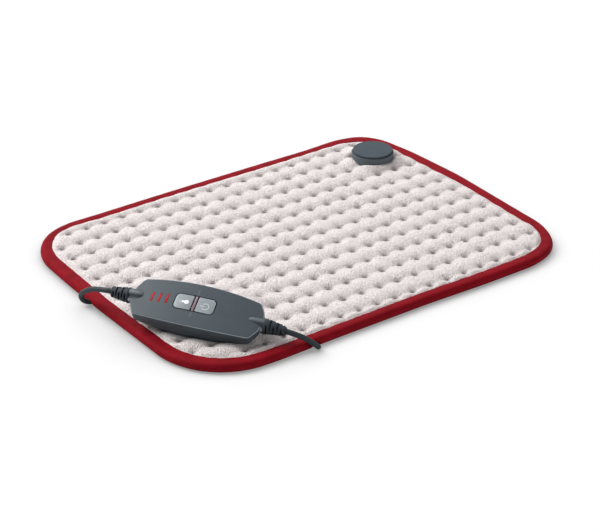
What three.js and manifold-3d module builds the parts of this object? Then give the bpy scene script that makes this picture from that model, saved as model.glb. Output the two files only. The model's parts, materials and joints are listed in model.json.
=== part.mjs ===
// Heating pad with a hand controller, lying on the floor over its own wound-up mains lead.
// Millimetres, +Z up. The origin is on the floor under the middle of the pad, X along its long side.
import * as THREE from 'three';
import { mergeVertices } from 'three/addons/utils/BufferGeometryUtils.js';
import Module from 'manifold-3d';

const wasm = await Module();
wasm.setup();

// Clearances
const touchGap = 0.3;
const layerGap = 0.3;
const floorGap = 0.05;

// Pad outline and its edge binding
const padLength = 440;
const padWidth = 330;
const padCornerRadius = 67;
const bindingWidth = 11.3;
const bindingLip = 1.3;
const bindingTuck = 6;
const bindingRound = 4.5;
const bindingInnerChamfer = 1.2;

// Pad layers
const bottomCoverThickness = 0.5;
const wireDiameter = 0.9;
const wireEndMargin = 40;
const wireBend = 8;
const wireReturnMargin = 20;
const carrierThickness = 0.4;
const topCoverLeast = 0.6;
const dimplePitchX = 20.58;
const dimplePitchY = 23.7;
const dimpleEdgeMargin = 11;
const moundHeight = 4.2;
const coverEdgeRoll = 10;
const sensorLength = 6;

// Coupling on the far right corner
const couplingFromRight = 52.6;
const couplingFromBack = 67.8;
const capRadius = 21.25;
const capTopRadius = 18.8;
const capHeight = 10;
const capWall = 2;
const capPress = 1.7;
const baseRadius = 20.5;
const baseFloorThickness = 2.4;
const barrelRadius = 12;
const barrelWall = 2;
const barrelRise = 1.2;
const snoutLength = 14;
const snoutRootWidth = 15;
const snoutTipWidth = 9;
const couplingBoardRadius = 16;
const couplingScrewOffset = 6;
const contactOffset = 5;
const contactRadius = 0.9;
const thermalFuseRadius = 1.6;
const thermalFuseLength = 9;

// Cords, coil and tie
const cordDiameter = 5;
const strandPitch = 5.7;
const coilInnerRadius = 44;
const coilLeadTurns = 1.5;
const coilTailTurns = 2;
const coilStraight = 6;
const coilFromLeft = 218;
const coilFromFront = 145;
const tieThickness = 0.3;
const tieGap = 0.2;
const tieSideGap = 0.5;
const tieWidth = 8;
const padLeadCrossing = 182.3;
const mainsLeadCrossing = 124.3;

// Mains plug
const plugLength = 36;
const plugWidth = 35.3;
const plugThickness = 13.7;
const plugTailWidth = 15;
const plugShoulder = 15;
const plugEdge = 2;
const pinLength = 19;
const pinDiameter = 4;
const pinSpacing = 18.6;
const plugReliefLength = 16;
const plugReliefRadius = 4.5;
const plugAlong = -4;
const plugAcross = 27.5;

// Rise of the pad over the plug: how far each slope runs out
const risePinSlope = 32;
const riseTailSlope = 40;
const riseNearSlope = 14;
const riseFarSlope = 27;
const riseCoverMargin = 4;

// Controller housing and how it lies on the pad
const controllerFromLeft = 46.1;
const controllerFromFront = 73.65;
const controllerAltitude = 31.75;
const controllerHeading = -53.4;
const controllerDip = 3.1;
const controllerRoll = 25.7;
const controllerLength = 122;
const controllerMidWidth = 43.5;
const controllerBow = 4.2;
const controllerArch = 6;
const controllerEndDepth = 9.5;
const controllerBelly = 5;
const controllerWall = 1.8;
const controllerEdge = 1.2;
const controllerDraft = 0.3;
const controllerEndFlat = 16;
const controllerShoulder = 6;
const controllerCorner = 2.5;
const partingHeight = -3.5;
const bilgeInset = 2.8;
const bellyInset = 6.5;

// Glands and ribbed strain reliefs
const bossRadius = 6.5;
const bossTipRadius = 4.6;
const bossLength = 16;
const reliefLength = 20;
const reliefRootRadius = 7;
const reliefTipRadius = 4.4;
const reliefGrooves = 5;
const reliefGrooveDepth = 1.2;
const neckRadius = 4.2;
const neckLength = 7;

// Buttons and lights
const buttonSize = 15.6;
const buttonSpacing = 4.6;
const buttonCorner = 4;
const buttonInnerCorner = 0.8;
const buttonProud = 0.25;
const buttonFlange = 1.2;
const flangeThickness = 1;
const stemRadius = 2;
const levelLightLength = 9.5;
const levelLightWidth = 2;
const levelLightPitch = 7.1;
const levelLightFromEnd = 19.7;

// Controller inside
const boardThickness = 1.6;
const boardEndMargin = 15;
const boardWidth = 33;
const boardShoulder = 9;
const switchSize = 6;
const switchHeight = 3.4;
const plungerRadius = 1.5;
const plungerStand = 1.2;
const plungerDepth = 2.2;
const ledHeight = 1.2;
const ledLength = 3.2;
const ledWidth = 1.8;
const bladeWidth = 1.6;
const bladeLength = 8;
const screwFromEnd = 18;
const screwAcross = 8.5;
const screwRadius = 1.3;
const screwHeadRadius = 2.6;
const screwHeadHeight = 1.2;
const screwLength = 9;
const postWall = 1.9;
const ribThickness = 1.6;
const ribAlong = 22;

// Facet counts
const cornerSteps = 8;
const cordSides = 8;
const coilSides = 6;
const coilStepsPerTurn = 24;
const wireSides = 5;
const turnSteps = 6;
const roundSides = 20;
const smallSides = 12;
const cordStepsPerSpan = 2;

// Heights of the pad's layers
const coilHeight = floorGap + tieThickness + tieGap + cordDiameter / 2;
const undersideHeight = coilHeight + cordDiameter / 2 + tieGap + tieThickness + touchGap;
const bottomCoverTop = undersideHeight + bottomCoverThickness;
const wireHeight = bottomCoverTop + layerGap + wireDiameter / 2;
const carrierBottom = wireHeight + wireDiameter / 2 + layerGap;
const carrierTop = carrierBottom + carrierThickness;
const topCoverBottom = carrierTop + layerGap;
const dimpleHeight = topCoverBottom + topCoverLeast;
const moundTop = dimpleHeight + moundHeight;
const slotBottom = undersideHeight - touchGap;
const slotTop = carrierTop + touchGap;
const bindingHeight = slotTop + bindingLip;

// Places worked out from the pad's corners
const couplingX = padLength / 2 - couplingFromRight;
const couplingY = padWidth / 2 - couplingFromBack;
const controllerX = -padLength / 2 + controllerFromLeft;
const controllerY = -padWidth / 2 + controllerFromFront;
const coilX = -padLength / 2 + coilFromLeft;
const coilY = -padWidth / 2 + coilFromFront;
const plugMiddle = floorGap + plugThickness / 2;
const riseHeight = floorGap + plugThickness + touchGap - undersideHeight;
const capSeat = moundTop - capPress;
const capTop = capSeat + capHeight;
const baseTop = undersideHeight - touchGap;
const baseFloor = floorGap + baseFloorThickness;
const barrelTop = capSeat + barrelRise;
const barrelBore = barrelRadius - barrelWall;

const radians = THREE.MathUtils.degToRad;
const point = (x, y, z) => new THREE.Vector3(x, y, z);
const fromCorner = (x, y, z) => point(x - padLength / 2, y - padWidth / 2, z);

// Materials
const paint = (color, roughness, metalness = 0) => () => (
  new THREE.MeshStandardMaterial({ color, roughness, metalness })
);
const fleece = paint(0xeee6e4, 0.95);
const tape = paint(0xa51e2d, 0.85);
const cloth = paint(0xd9d4d0, 0.95);
const heaterCover = paint(0xc98a5a, 0.6);
const slate = paint(0x545c63, 0.45);
const slateDark = paint(0x3c454c, 0.5);
const rubberDark = paint(0x2d373e, 0.7);
const buttonGrey = paint(0x858d93, 0.4);
const lightRed = paint(0xcd1928, 0.3);
const stripRed = paint(0x8d7a7d, 0.35);
const boardGreen = paint(0x2f6b45, 0.6);
const partBlack = paint(0x1e2124, 0.5);
const partBlue = paint(0x2f5f9a, 0.5);
const glassClear = paint(0xd8dcd8, 0.15);
const brass = paint(0xb89a56, 0.35, 1);
const steel = paint(0xb4b8bb, 0.3, 1);
const strap = paint(0x24282c, 0.8);

function piece(name, geometry, makeMaterial) {
  const mesh = new THREE.Mesh(geometry, makeMaterial());
  mesh.name = name;
  return mesh;
}

// Joining and cutting of closed solids
const mergeDistance = 1e-4;

function toSolid(geometry) {
  const bare = new THREE.BufferGeometry();
  bare.setAttribute('position', geometry.getAttribute('position'));
  bare.setIndex(geometry.getIndex());
  const merged = mergeVertices(bare, mergeDistance);
  const corners = merged.getIndex().array;
  const triangles = [];
  for (let i = 0; i < corners.length; i += 3) {
    const [a, b, c] = [corners[i], corners[i + 1], corners[i + 2]];
    if (a !== b && b !== c && c !== a) {
      triangles.push(a, b, c);
    }
  }
  return new wasm.Manifold(new wasm.Mesh({
    numProp: 3,
    vertProperties: new Float32Array(merged.getAttribute('position').array),
    triVerts: new Uint32Array(triangles),
  }));
}

function toGeometry(solid) {
  const mesh = solid.getMesh();
  const geometry = new THREE.BufferGeometry();
  geometry.setAttribute('position', new THREE.BufferAttribute(mesh.vertProperties, mesh.numProp));
  geometry.setIndex(new THREE.BufferAttribute(mesh.triVerts, 1));
  geometry.computeVertexNormals();
  return geometry;
}

const join = (first, ...others) => others.reduce((whole, other) => whole.add(toSolid(other)), first);
const cut = (first, ...others) => others.reduce((whole, other) => whole.subtract(toSolid(other)), first);

// Basic forms
function meshOf(points, triangles) {
  const geometry = new THREE.BufferGeometry();
  const coordinates = points.flatMap((p) => [p.x, p.y, p.z]);
  geometry.setAttribute('position', new THREE.Float32BufferAttribute(coordinates, 3));
  geometry.setIndex(triangles);
  return geometry;
}

function box(lengthX, lengthY, lengthZ, x, y, z) {
  return new THREE.BoxGeometry(lengthX, lengthY, lengthZ).translate(x, y, z);
}

function prism(shape, zLow, zHigh, curveSegments = cornerSteps / 2) {
  const options = { depth: zHigh - zLow, bevelEnabled: false, curveSegments };
  return new THREE.ExtrudeGeometry(shape, options).translate(0, 0, zLow);
}

// A turned solid about Z; the profile holds [radius, height] pairs from the lower to the upper axis point
function turned(profile, sides = roundSides) {
  const points = profile.map(([radius, height]) => new THREE.Vector2(radius, height));
  return new THREE.LatheGeometry(points, sides).rotateX(Math.PI / 2);
}

function rod(radius, zLow, zHigh, sides = smallSides) {
  return turned([[0, zLow], [radius, zLow], [radius, zHigh], [0, zHigh]], sides);
}

const alongX = (geometry) => geometry.rotateY(Math.PI / 2);

// Rectangle centred on the origin, with one radius at its left corners and one at its right corners
function roundedRectangle(length, width, leftRadius, rightRadius = leftRadius) {
  const [x, y] = [length / 2, width / 2];
  const quarter = Math.PI / 2;
  const shape = new THREE.Shape();
  shape.absarc(x - rightRadius, y - rightRadius, rightRadius, 0, quarter);
  shape.absarc(-x + leftRadius, y - leftRadius, leftRadius, quarter, 2 * quarter);
  shape.absarc(-x + leftRadius, -y + leftRadius, leftRadius, 2 * quarter, 3 * quarter);
  shape.absarc(x - rightRadius, -y + rightRadius, rightRadius, 3 * quarter, 4 * quarter);
  return shape;
}

function polygonShape(diameter, sides) {
  const corners = [];
  for (let i = 0; i < sides; i += 1) {
    const angle = (i + 0.5) * 2 * Math.PI / sides;
    corners.push(new THREE.Vector2(Math.cos(angle), Math.sin(angle)).multiplyScalar(diameter / 2));
  }
  return new THREE.Shape(corners);
}

// A path whose even steps land on its own points
class StepRoute extends THREE.Curve {
  constructor(points) {
    super();
    this.points = points;
  }

  indexAt(t) {
    return Math.round(t * (this.points.length - 1));
  }

  getPointAt(t) {
    return this.points[this.indexAt(t)].clone();
  }

  getTangentAt(t) {
    const index = this.indexAt(t);
    const before = this.points[Math.max(index - 1, 0)];
    const after = this.points[Math.min(index + 1, this.points.length - 1)];
    return after.clone().sub(before).normalize();
  }
}

function tube(points, diameter, sides) {
  return new THREE.ExtrudeGeometry(polygonShape(diameter, sides), {
    steps: points.length - 1,
    extrudePath: new StepRoute(points),
    bevelEnabled: false,
  });
}

function cordTube(points) {
  const curve = new THREE.CatmullRomCurve3(points, false, 'centripetal');
  return tube(curve.getPoints((points.length - 1) * cordStepsPerSpan), cordDiameter, cordSides);
}

// Closed block over a grid of lines, from a level underside to an upper height
function gridBlock(xs, ys, lowLevel, upper) {
  const points = [];
  ys.forEach((y) => xs.forEach((x) => points.push(point(x, y, upper(x, y)))));
  const at = (i, j) => j * xs.length + i;
  const rise = (a, b) => Math.abs(points[a].z - points[b].z);
  const triangles = [];
  for (let j = 0; j + 1 < ys.length; j += 1) {
    for (let i = 0; i + 1 < xs.length; i += 1) {
      const [a, b, c, d] = [at(i, j), at(i + 1, j), at(i + 1, j + 1), at(i, j + 1)];
      triangles.push(...(rise(a, c) >= rise(b, d) ? [a, b, c, a, c, d] : [a, b, d, b, c, d]));
    }
  }
  const [lastX, lastY] = [xs.length - 1, ys.length - 1];
  const rim = [];
  xs.forEach((_, i) => rim.push(at(i, 0)));
  ys.slice(1).forEach((_, j) => rim.push(at(lastX, j + 1)));
  xs.slice(1).forEach((_, i) => rim.push(at(lastX - 1 - i, lastY)));
  ys.slice(2).forEach((_, j) => rim.push(at(0, lastY - 1 - j)));
  const foot = points.length;
  rim.forEach((p) => points.push(points[p].clone().setZ(lowLevel)));
  const middle = points.length;
  points.push(point((xs[0] + xs[lastX]) / 2, (ys[0] + ys[lastY]) / 2, lowLevel));
  rim.forEach((p, k) => {
    const next = (k + 1) % rim.length;
    triangles.push(foot + k, foot + next, rim[next], foot + k, rim[next], p);
    triangles.push(middle, foot + next, foot + k);
  });
  return meshOf(points, triangles);
}

// Closed body through rings of equal count, listed from above; each ring is a lower side from left to
// right and then its mirror image back, so the first and last rings close with strips across
function loft(rings) {
  const count = rings[0].length;
  const triangles = [];
  for (let r = 0; r + 1 < rings.length; r += 1) {
    for (let i = 0; i < count; i += 1) {
      const [a, b] = [r * count + i, r * count + (i + 1) % count];
      triangles.push(a + count, b + count, b, a + count, b, a);
    }
  }
  const last = (rings.length - 1) * count;
  for (let i = 0; i + 1 < count / 2; i += 1) {
    const [a, b, c, d] = [i, i + 1, count - 2 - i, count - 1 - i];
    triangles.push(a, b, c, a, c, d);
    triangles.push(last + a, last + c, last + b, last + a, last + d, last + c);
  }
  return meshOf(rings.flat(), triangles);
}

// Pad: the rise over the plug, in the plug's own frame with X from its pins to its cord
const plugFace = plugAlong - plugLength / 2;
const plugEnd = plugAlong + plugLength / 2;
const riseXs = [
  plugFace - touchGap - risePinSlope,
  plugFace - touchGap,
  plugEnd + touchGap,
  plugEnd + touchGap + riseTailSlope,
];
const riseYs = [
  plugAcross - plugWidth / 2 - touchGap - riseNearSlope,
  plugAcross - plugWidth / 2 - touchGap,
  plugAcross + plugWidth / 2 + touchGap,
  plugAcross + plugWidth / 2 + touchGap + riseFarSlope,
];

function ramp(value, [start, full, fade, end]) {
  const up = (value - start) / (full - start);
  const down = (end - value) / (end - fade);
  return THREE.MathUtils.clamp(Math.min(up, down), 0, 1);
}

const widened = ([start, full, fade, end], margin) => (
  [start - margin, full - margin, fade + margin, end + margin]
);
const riseAt = (x, y) => riseHeight * Math.min(ramp(x, riseXs), ramp(y, riseYs));

function toPlugFrame(x, y) {
  const offset = new THREE.Vector2(x - controllerX, y - controllerY);
  return offset.rotateAround(new THREE.Vector2(), -radians(controllerHeading));
}

function padRise(x, y) {
  const local = toPlugFrame(x, y);
  return riseAt(local.x, local.y);
}

function coverRise(x, y) {
  const local = toPlugFrame(x, y);
  const shareX = ramp(local.x, widened(riseXs, riseCoverMargin));
  const shareY = ramp(local.y, widened(riseYs, riseCoverMargin));
  return riseHeight * Math.min(shareX, shareY);
}

function placeWithPlug(geometry) {
  return geometry.rotateZ(radians(controllerHeading)).translate(controllerX, controllerY, 0);
}

function riseBlock(z) {
  const skirt = layerGap;
  return placeWithPlug(gridBlock(riseXs, riseYs, z - skirt, (x, y) => z + riseAt(x, y)));
}

const padOutline = (inset) => roundedRectangle(
  padLength - 2 * inset,
  padWidth - 2 * inset,
  padCornerRadius - inset,
);

const atCoupling = (geometry) => geometry.translate(couplingX, couplingY, 0);
const couplingHole = () => atCoupling(rod(barrelRadius + touchGap, 0, capTop, roundSides));

function padLayer(zLow, zHigh) {
  const outline = padOutline(bindingWidth - bindingTuck);
  const flat = toSolid(prism(outline, zLow, zHigh));
  const raised = toSolid(riseBlock(zHigh)).intersect(toSolid(prism(outline, 0, zHigh + riseHeight)));
  return toGeometry(cut(flat.add(raised), riseBlock(zLow), couplingHole()));
}

// Pad: quilted top cover, whose dimples lie in straight rows
const dimpleCount = (size, pitch) => 1 + Math.floor((size - 2 * (bindingWidth + dimpleEdgeMargin)) / pitch);
const dimpleColumns = dimpleCount(padLength, dimplePitchX);
const dimpleRows = dimpleCount(padWidth, dimplePitchY);

function edgeDepth(x, y) {
  const inset = bindingWidth + touchGap;
  const radius = padCornerRadius - inset;
  const beyondX = Math.abs(x) - (padLength / 2 - inset - radius);
  const beyondY = Math.abs(y) - (padWidth / 2 - inset - radius);
  const outside = Math.hypot(Math.max(beyondX, 0), Math.max(beyondY, 0));
  return radius - outside - Math.min(Math.max(beyondX, beyondY), 0);
}

function quiltHeight(x, y) {
  const nearness = (value, pitch, count) => {
    const phase = value / pitch + (count % 2 ? 0 : 0.5);
    return (1 + Math.cos(2 * Math.PI * phase)) / 2;
  };
  const nearX = nearness(x, dimplePitchX, dimpleColumns);
  const nearY = nearness(y, dimplePitchY, dimpleRows);
  const seam = 0.07;
  const sunk = (1 - 2 * seam) * nearX * nearY + seam * (nearX + nearY);
  const crown = dimpleHeight + moundHeight * (1 - sunk);
  const share = THREE.MathUtils.smoothstep(edgeDepth(x, y), 0, coverEdgeRoll);
  return bindingHeight + (crown - bindingHeight) * share;
}

function quiltLines(size, pitch, count) {
  const reach = size / 2 - bindingWidth;
  const lines = [-reach];
  for (let i = 0; i < 2 * count - 1; i += 1) {
    lines.push((i + 1 - count) * pitch / 2);
  }
  return [...lines, reach];
}

function topCover() {
  const block = gridBlock(
    quiltLines(padLength, dimplePitchX, dimpleColumns),
    quiltLines(padWidth, dimplePitchY, dimpleRows),
    0,
    (x, y) => quiltHeight(x, y) + coverRise(x, y),
  );
  const outline = prism(padOutline(bindingWidth + touchGap), topCoverBottom, 2 * moundTop + riseHeight);
  const seat = atCoupling(rod(capRadius + touchGap, capSeat - touchGap, capTop, roundSides));
  const trimmed = toSolid(block).intersect(toSolid(outline));
  return toGeometry(cut(trimmed, riseBlock(topCoverBottom), couplingHole(), seat, controllerEnvelope()));
}

// Pad: folded tape round the edge, with a slot that the layers tuck into
function bindingSection() {
  const section = [];
  for (let i = 0; i <= cornerSteps; i += 1) {
    const angle = (i / cornerSteps - 0.5) * Math.PI;
    section.push([
      bindingRound * (1 - Math.cos(angle)),
      bindingHeight / 2 * (1 + Math.sin(angle)),
    ]);
  }
  const slotBack = bindingWidth - bindingTuck - touchGap;
  section.push(
    [bindingWidth - bindingInnerChamfer, bindingHeight],
    [bindingWidth, slotTop],
    [slotBack, slotTop],
    [slotBack, slotBottom],
    [bindingWidth, slotBottom],
    [bindingWidth, bindingInnerChamfer],
    [bindingWidth - bindingInnerChamfer, 0],
  );
  return section;
}

function edgeBinding() {
  const section = bindingSection();
  const points = [];
  for (let corner = 0; corner < 4; corner += 1) {
    const signX = corner === 0 || corner === 3 ? 1 : -1;
    const signY = corner < 2 ? 1 : -1;
    for (let step = 0; step <= cornerSteps; step += 1) {
      const angle = (corner + step / cornerSteps) * Math.PI / 2;
      for (const [inward, height] of section) {
        points.push(point(
          signX * (padLength / 2 - padCornerRadius) + (padCornerRadius - inward) * Math.cos(angle),
          signY * (padWidth / 2 - padCornerRadius) + (padCornerRadius - inward) * Math.sin(angle),
          height,
        ));
      }
    }
  }
  const count = section.length;
  const stations = points.length / count;
  const triangles = [];
  for (let s = 0; s < stations; s += 1) {
    for (let i = 0; i < count; i += 1) {
      const [a, b] = [s * count + i, s * count + (i + 1) % count];
      const [c, d] = [(a + count) % points.length, (b + count) % points.length];
      triangles.push(a, c, d, a, d, b);
    }
  }
  return toGeometry(cut(toSolid(meshOf(points, triangles)), ...cordNotches()));
}

// Arches in the underside of the binding where the two leads pass below it
function cordNotches() {
  const width = cordDiameter + 8 * touchGap;
  const reach = 2 * bindingWidth;
  const height = 2 * (slotBottom + layerGap / 2);
  const left = fromCorner(0, padLeadCrossing, 0);
  const front = fromCorner(mainsLeadCrossing, 0, 0);
  return [
    box(reach, width, height, left.x + bindingWidth / 2, left.y, 0),
    box(width, reach, height, front.x, front.y + bindingWidth / 2, 0),
  ];
}

// Pad: heating wire laid in lanes between the rows of dimples
function riseCrossings(start, end) {
  const [a, b] = [toPlugFrame(start.x, start.y), toPlugFrame(end.x, end.y)];
  const lines = [];
  riseXs.forEach((x) => lines.push([1, 0, x]));
  riseYs.forEach((y) => lines.push([0, 1, y]));
  for (const [outX, inX] of [[0, 1], [3, 2]]) {
    for (const [outY, inY] of [[0, 1], [3, 2]]) {
      const normalX = riseYs[inY] - riseYs[outY];
      const normalY = riseXs[outX] - riseXs[inX];
      lines.push([normalX, normalY, normalX * riseXs[outX] + normalY * riseYs[outY]]);
    }
  }
  const steps = lines.map(([nx, ny, level]) => (
    (level - nx * a.x - ny * a.y) / (nx * (b.x - a.x) + ny * (b.y - a.y))
  ));
  return steps.filter((t) => t > 0 && t < 1).sort((s, t) => s - t);
}

function drape(flatPoints) {
  const least = 0.05;
  const laid = [];
  flatPoints.forEach((start, i) => {
    laid.push(start);
    const end = flatPoints[i + 1];
    if (end) {
      riseCrossings(start, end).forEach((t) => laid.push(start.clone().lerp(end, t)));
    }
  });
  const raised = laid.map((p) => point(p.x, p.y, wireHeight + padRise(p.x, p.y)));
  return raised.filter((p, i) => {
    const [before, after] = [raised[i - 1], raised[i + 1]];
    if (!before || !after || flatPoints.includes(laid[i])) {
      return true;
    }
    const share = before.distanceTo(p) / (before.distanceTo(p) + p.distanceTo(after));
    return Math.abs(p.z - before.z - (after.z - before.z) * share) > least;
  });
}

function arcPoints(x, y, radius, fromAngle, toAngle, steps) {
  const points = [];
  for (let i = 0; i <= steps; i += 1) {
    const angle = radians(fromAngle + (toAngle - fromAngle) * i / steps);
    points.push(new THREE.Vector2(x + radius * Math.cos(angle), y + radius * Math.sin(angle)));
  }
  return points;
}

const lanes = dimpleRows - 1;
const laneY = (k) => ((lanes - 1) / 2 - k) * dimplePitchY;

function wireRoute() {
  const turn = dimplePitchY / 2;
  const endX = padLength / 2 - wireEndMargin;
  const nearCoupling = couplingX - barrelRadius - touchGap - dimplePitchX / 4 - turn;
  const route = [new THREE.Vector2(couplingX, couplingY + barrelBore)];
  route.push(...arcPoints(couplingX - wireBend, laneY(0) - wireBend, wireBend, 0, 90, turnSteps / 2));
  for (let k = 0; k + 1 < lanes; k += 1) {
    const middle = (laneY(k) + laneY(k + 1)) / 2;
    const reachesCoupling = Math.abs(middle - couplingY) < barrelRadius + turn;
    const rightX = reachesCoupling ? nearCoupling : endX;
    route.push(...(k % 2
      ? arcPoints(rightX, middle, turn, 90, -90, turnSteps)
      : arcPoints(-endX, middle, turn, 90, 270, turnSteps)));
  }
  const returnX = padLength / 2 - wireReturnMargin;
  const last = laneY(lanes - 1);
  const sweep = wireReturnMargin;
  route.push(...arcPoints(endX - wireBend, last + sweep, sweep, -90, -45, turnSteps / 2));
  route.push(...arcPoints(returnX - wireBend, 0, wireBend, -30, 0, 1));
  route.push(...arcPoints(returnX - wireBend, couplingY - wireBend, wireBend, 0, 90, turnSteps / 2));
  route.push(new THREE.Vector2(couplingX + barrelBore, couplingY));
  return drape(route);
}

function temperatureSensor() {
  const radius = wireDiameter / 2;
  const half = sensorLength / 2;
  const profile = [[0, -half], [radius, -half + radius], [radius, half - radius], [0, half]];
  const betweenLanes = laneY(Math.floor(lanes / 2)) + dimplePitchY / 2;
  return alongX(turned(profile, smallSides)).translate(couplingX / 2, betweenLanes, wireHeight);
}

// Coupling: base under the pad, barrel through the layers, cap on top
function couplingBase() {
  const edge = 1;
  const body = turned([
    [0, floorGap],
    [baseRadius - edge, floorGap],
    [baseRadius, floorGap + edge],
    [baseRadius, baseTop - edge],
    [baseRadius - edge, baseTop],
    [barrelRadius, baseTop],
    [barrelRadius, barrelTop],
    [barrelBore, barrelTop],
    [barrelBore, baseFloor],
    [0, baseFloor],
  ]);
  const tip = -baseRadius - snoutLength;
  const root = -barrelRadius - edge;
  const snout = new THREE.Shape([
    new THREE.Vector2(root, -snoutRootWidth / 2),
    new THREE.Vector2(root, snoutRootWidth / 2),
    new THREE.Vector2(tip, snoutTipWidth / 2),
    new THREE.Vector2(tip, -snoutTipWidth / 2),
  ]);
  const slotWidth = wireDiameter + 2 * touchGap;
  const slotMiddle = (barrelRadius + barrelBore) / 2;
  const slotLow = wireHeight - slotWidth / 2;
  const slotHigh = barrelTop + touchGap;
  const slotTall = slotHigh - slotLow;
  const slotDeep = 2 * barrelWall;
  const whole = join(toSolid(body), prism(snout, floorGap, baseTop));
  return toGeometry(cut(
    whole,
    box(slotWidth, slotDeep, slotTall, 0, slotMiddle, (slotLow + slotHigh) / 2),
    box(slotDeep, slotWidth, slotTall, slotMiddle, 0, (slotLow + slotHigh) / 2),
    ...couplingScrewPlaces.flatMap((y) => [
      rod(screwRadius + touchGap, 0, baseFloor + touchGap).translate(0, y, 0),
      rod(screwHeadRadius + touchGap, 0, floorGap + screwHeadHeight + 2 * touchGap).translate(0, y, 0),
    ]),
  ));
}

const couplingScrewPlaces = [couplingScrewOffset, -couplingScrewOffset];
const couplingBoardLow = barrelTop + touchGap;
const couplingBoardHigh = couplingBoardLow + boardThickness;

function couplingCap() {
  const topEdge = 1.6;
  const shell = turned([
    [0, capTop - capWall],
    [capTopRadius - capWall, capTop - capWall],
    [capRadius - capWall, capSeat],
    [capRadius, capSeat],
    [capRadius, capSeat + capWall],
    [capTopRadius + topEdge / 2, capTop - topEdge],
    [capTopRadius - topEdge / 2, capTop - topEdge / 4],
    [capTopRadius - 2 * topEdge, capTop],
    [0, capTop],
  ], 28);
  const bosses = couplingScrewPlaces.map((y) => (
    rod(screwRadius + postWall - touchGap, baseFloor + touchGap, capTop - capWall / 2).translate(0, y, 0)
  ));
  const bores = couplingScrewPlaces.map((y) => (
    rod(screwRadius + touchGap, 0, floorGap + screwLength + 2 * touchGap).translate(0, y, 0)
  ));
  return toGeometry(cut(join(toSolid(shell), ...bosses), ...bores));
}

function couplingBoard() {
  const disc = rod(couplingBoardRadius, couplingBoardLow, couplingBoardHigh, roundSides);
  const bossHoles = couplingScrewPlaces.map((y) => (
    rod(screwRadius + postWall, 0, capTop).translate(0, y, 0)
  ));
  const pinHoles = [contactOffset, -contactOffset].map((x) => (
    rod(contactRadius + touchGap, 0, capTop).translate(x, 0, 0)
  ));
  return toGeometry(cut(toSolid(disc), ...bossHoles, ...pinHoles));
}

function contact() {
  const seat = couplingBoardHigh + touchGap;
  const foot = baseFloor + touchGap;
  return turned([
    [0, foot],
    [contactRadius, foot + contactRadius],
    [contactRadius, seat],
    [2 * contactRadius, seat],
    [2 * contactRadius, seat + contactRadius],
    [0, seat + contactRadius],
  ], smallSides);
}

function thermalFuse() {
  const half = thermalFuseLength / 2;
  const lead = thermalFuseRadius / 3;
  return alongX(turned([
    [0, -half - lead],
    [lead, -half - lead],
    [lead, -half],
    [thermalFuseRadius, -half + lead],
    [thermalFuseRadius, half - lead],
    [lead, half],
    [lead, half + lead],
    [0, half + lead],
  ], smallSides)).translate(
    0,
    couplingScrewOffset + screwRadius + postWall + thermalFuseRadius,
    couplingBoardHigh + touchGap + thermalFuseRadius,
  );
}

// A screw with its head down at height zero and its shank pointing up
function screw(length) {
  const slope = screwHeadHeight / 3;
  return turned([
    [0, 0],
    [screwHeadRadius, 0],
    [screwHeadRadius, screwHeadHeight - slope],
    [screwRadius, screwHeadHeight],
    [screwRadius, length - screwRadius],
    [0, length],
  ], smallSides);
}

function coupling() {
  const group = new THREE.Group();
  group.position.set(couplingX, couplingY, 0);
  group.add(
    piece('coupling_base', couplingBase(), slateDark),
    piece('coupling_cap', couplingCap(), slate),
    piece('coupling_board', couplingBoard(), boardGreen),
    piece('thermal_fuse', thermalFuse(), partBlue),
    piece('terminal_contact_1', contact().translate(contactOffset, 0, 0), brass),
    piece('terminal_contact_2', contact().translate(-contactOffset, 0, 0), brass),
  );
  couplingScrewPlaces.forEach((y, i) => {
    const made = piece(`coupling_screw_${i + 1}`, screw(screwLength), steel);
    made.position.set(0, y, floorGap + touchGap);
    group.add(made);
  });
  return group;
}

// Controller: outline, face and belly as functions of the place along it
const halfLength = controllerLength / 2;
const screwAlong = halfLength - screwFromEnd;
const boardLength = controllerLength - 2 * boardEndMargin;
const boardWaistLength = boardLength - 2 * boardShoulder;
const bulge = (x) => 1 - (x / halfLength) ** 2;
const faceHeight = (x) => controllerArch * bulge(x);
const bellyHeight = (x) => -controllerEndDepth - controllerBelly * bulge(x);
const sideAt = (x) => controllerMidWidth / 2 - controllerBow * (1 - bulge(x));

function roundedCorner(before, corner, after) {
  const toward = (other) => other.clone().sub(corner).setLength(controllerCorner).add(corner);
  const [first, last] = [toward(before), toward(after)];
  return [first, corner.clone().add(first.clone().add(last).multiplyScalar(0.5)).multiplyScalar(0.5), last];
}

// Half of the right-hand outline, from the middle of the side to the end, drawn in by an inset
function quarterOutline(inset) {
  const shoulderX = halfLength - controllerShoulder;
  const tip = new THREE.Vector2(halfLength, controllerEndFlat / 2);
  const bend = new THREE.Vector2(shoulderX, sideAt(shoulderX));
  const endNormal = new THREE.Vector2(1, 0);
  const slantNormal = new THREE.Vector2(bend.y - tip.y, tip.x - bend.x).normalize();
  const sideNormal = new THREE.Vector2(2 * controllerBow * shoulderX / halfLength ** 2, 1).normalize();
  const miter = (n, m) => n.clone().add(m).divideScalar(1 + n.dot(m)).multiplyScalar(inset);
  tip.sub(miter(endNormal, slantNormal));
  bend.sub(miter(slantNormal, sideNormal));
  const sidePoints = [];
  const sideSteps = 5;
  for (let i = 0; i < sideSteps; i += 1) {
    const x = (bend.x - controllerCorner) * i / sideSteps;
    sidePoints.push(new THREE.Vector2(x, sideAt(x) - inset));
  }
  const endMiddle = new THREE.Vector2(tip.x, 0);
  return [
    ...sidePoints,
    ...roundedCorner(sidePoints[sideSteps - 1], bend, tip),
    ...roundedCorner(bend, tip, endMiddle),
  ];
}

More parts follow.
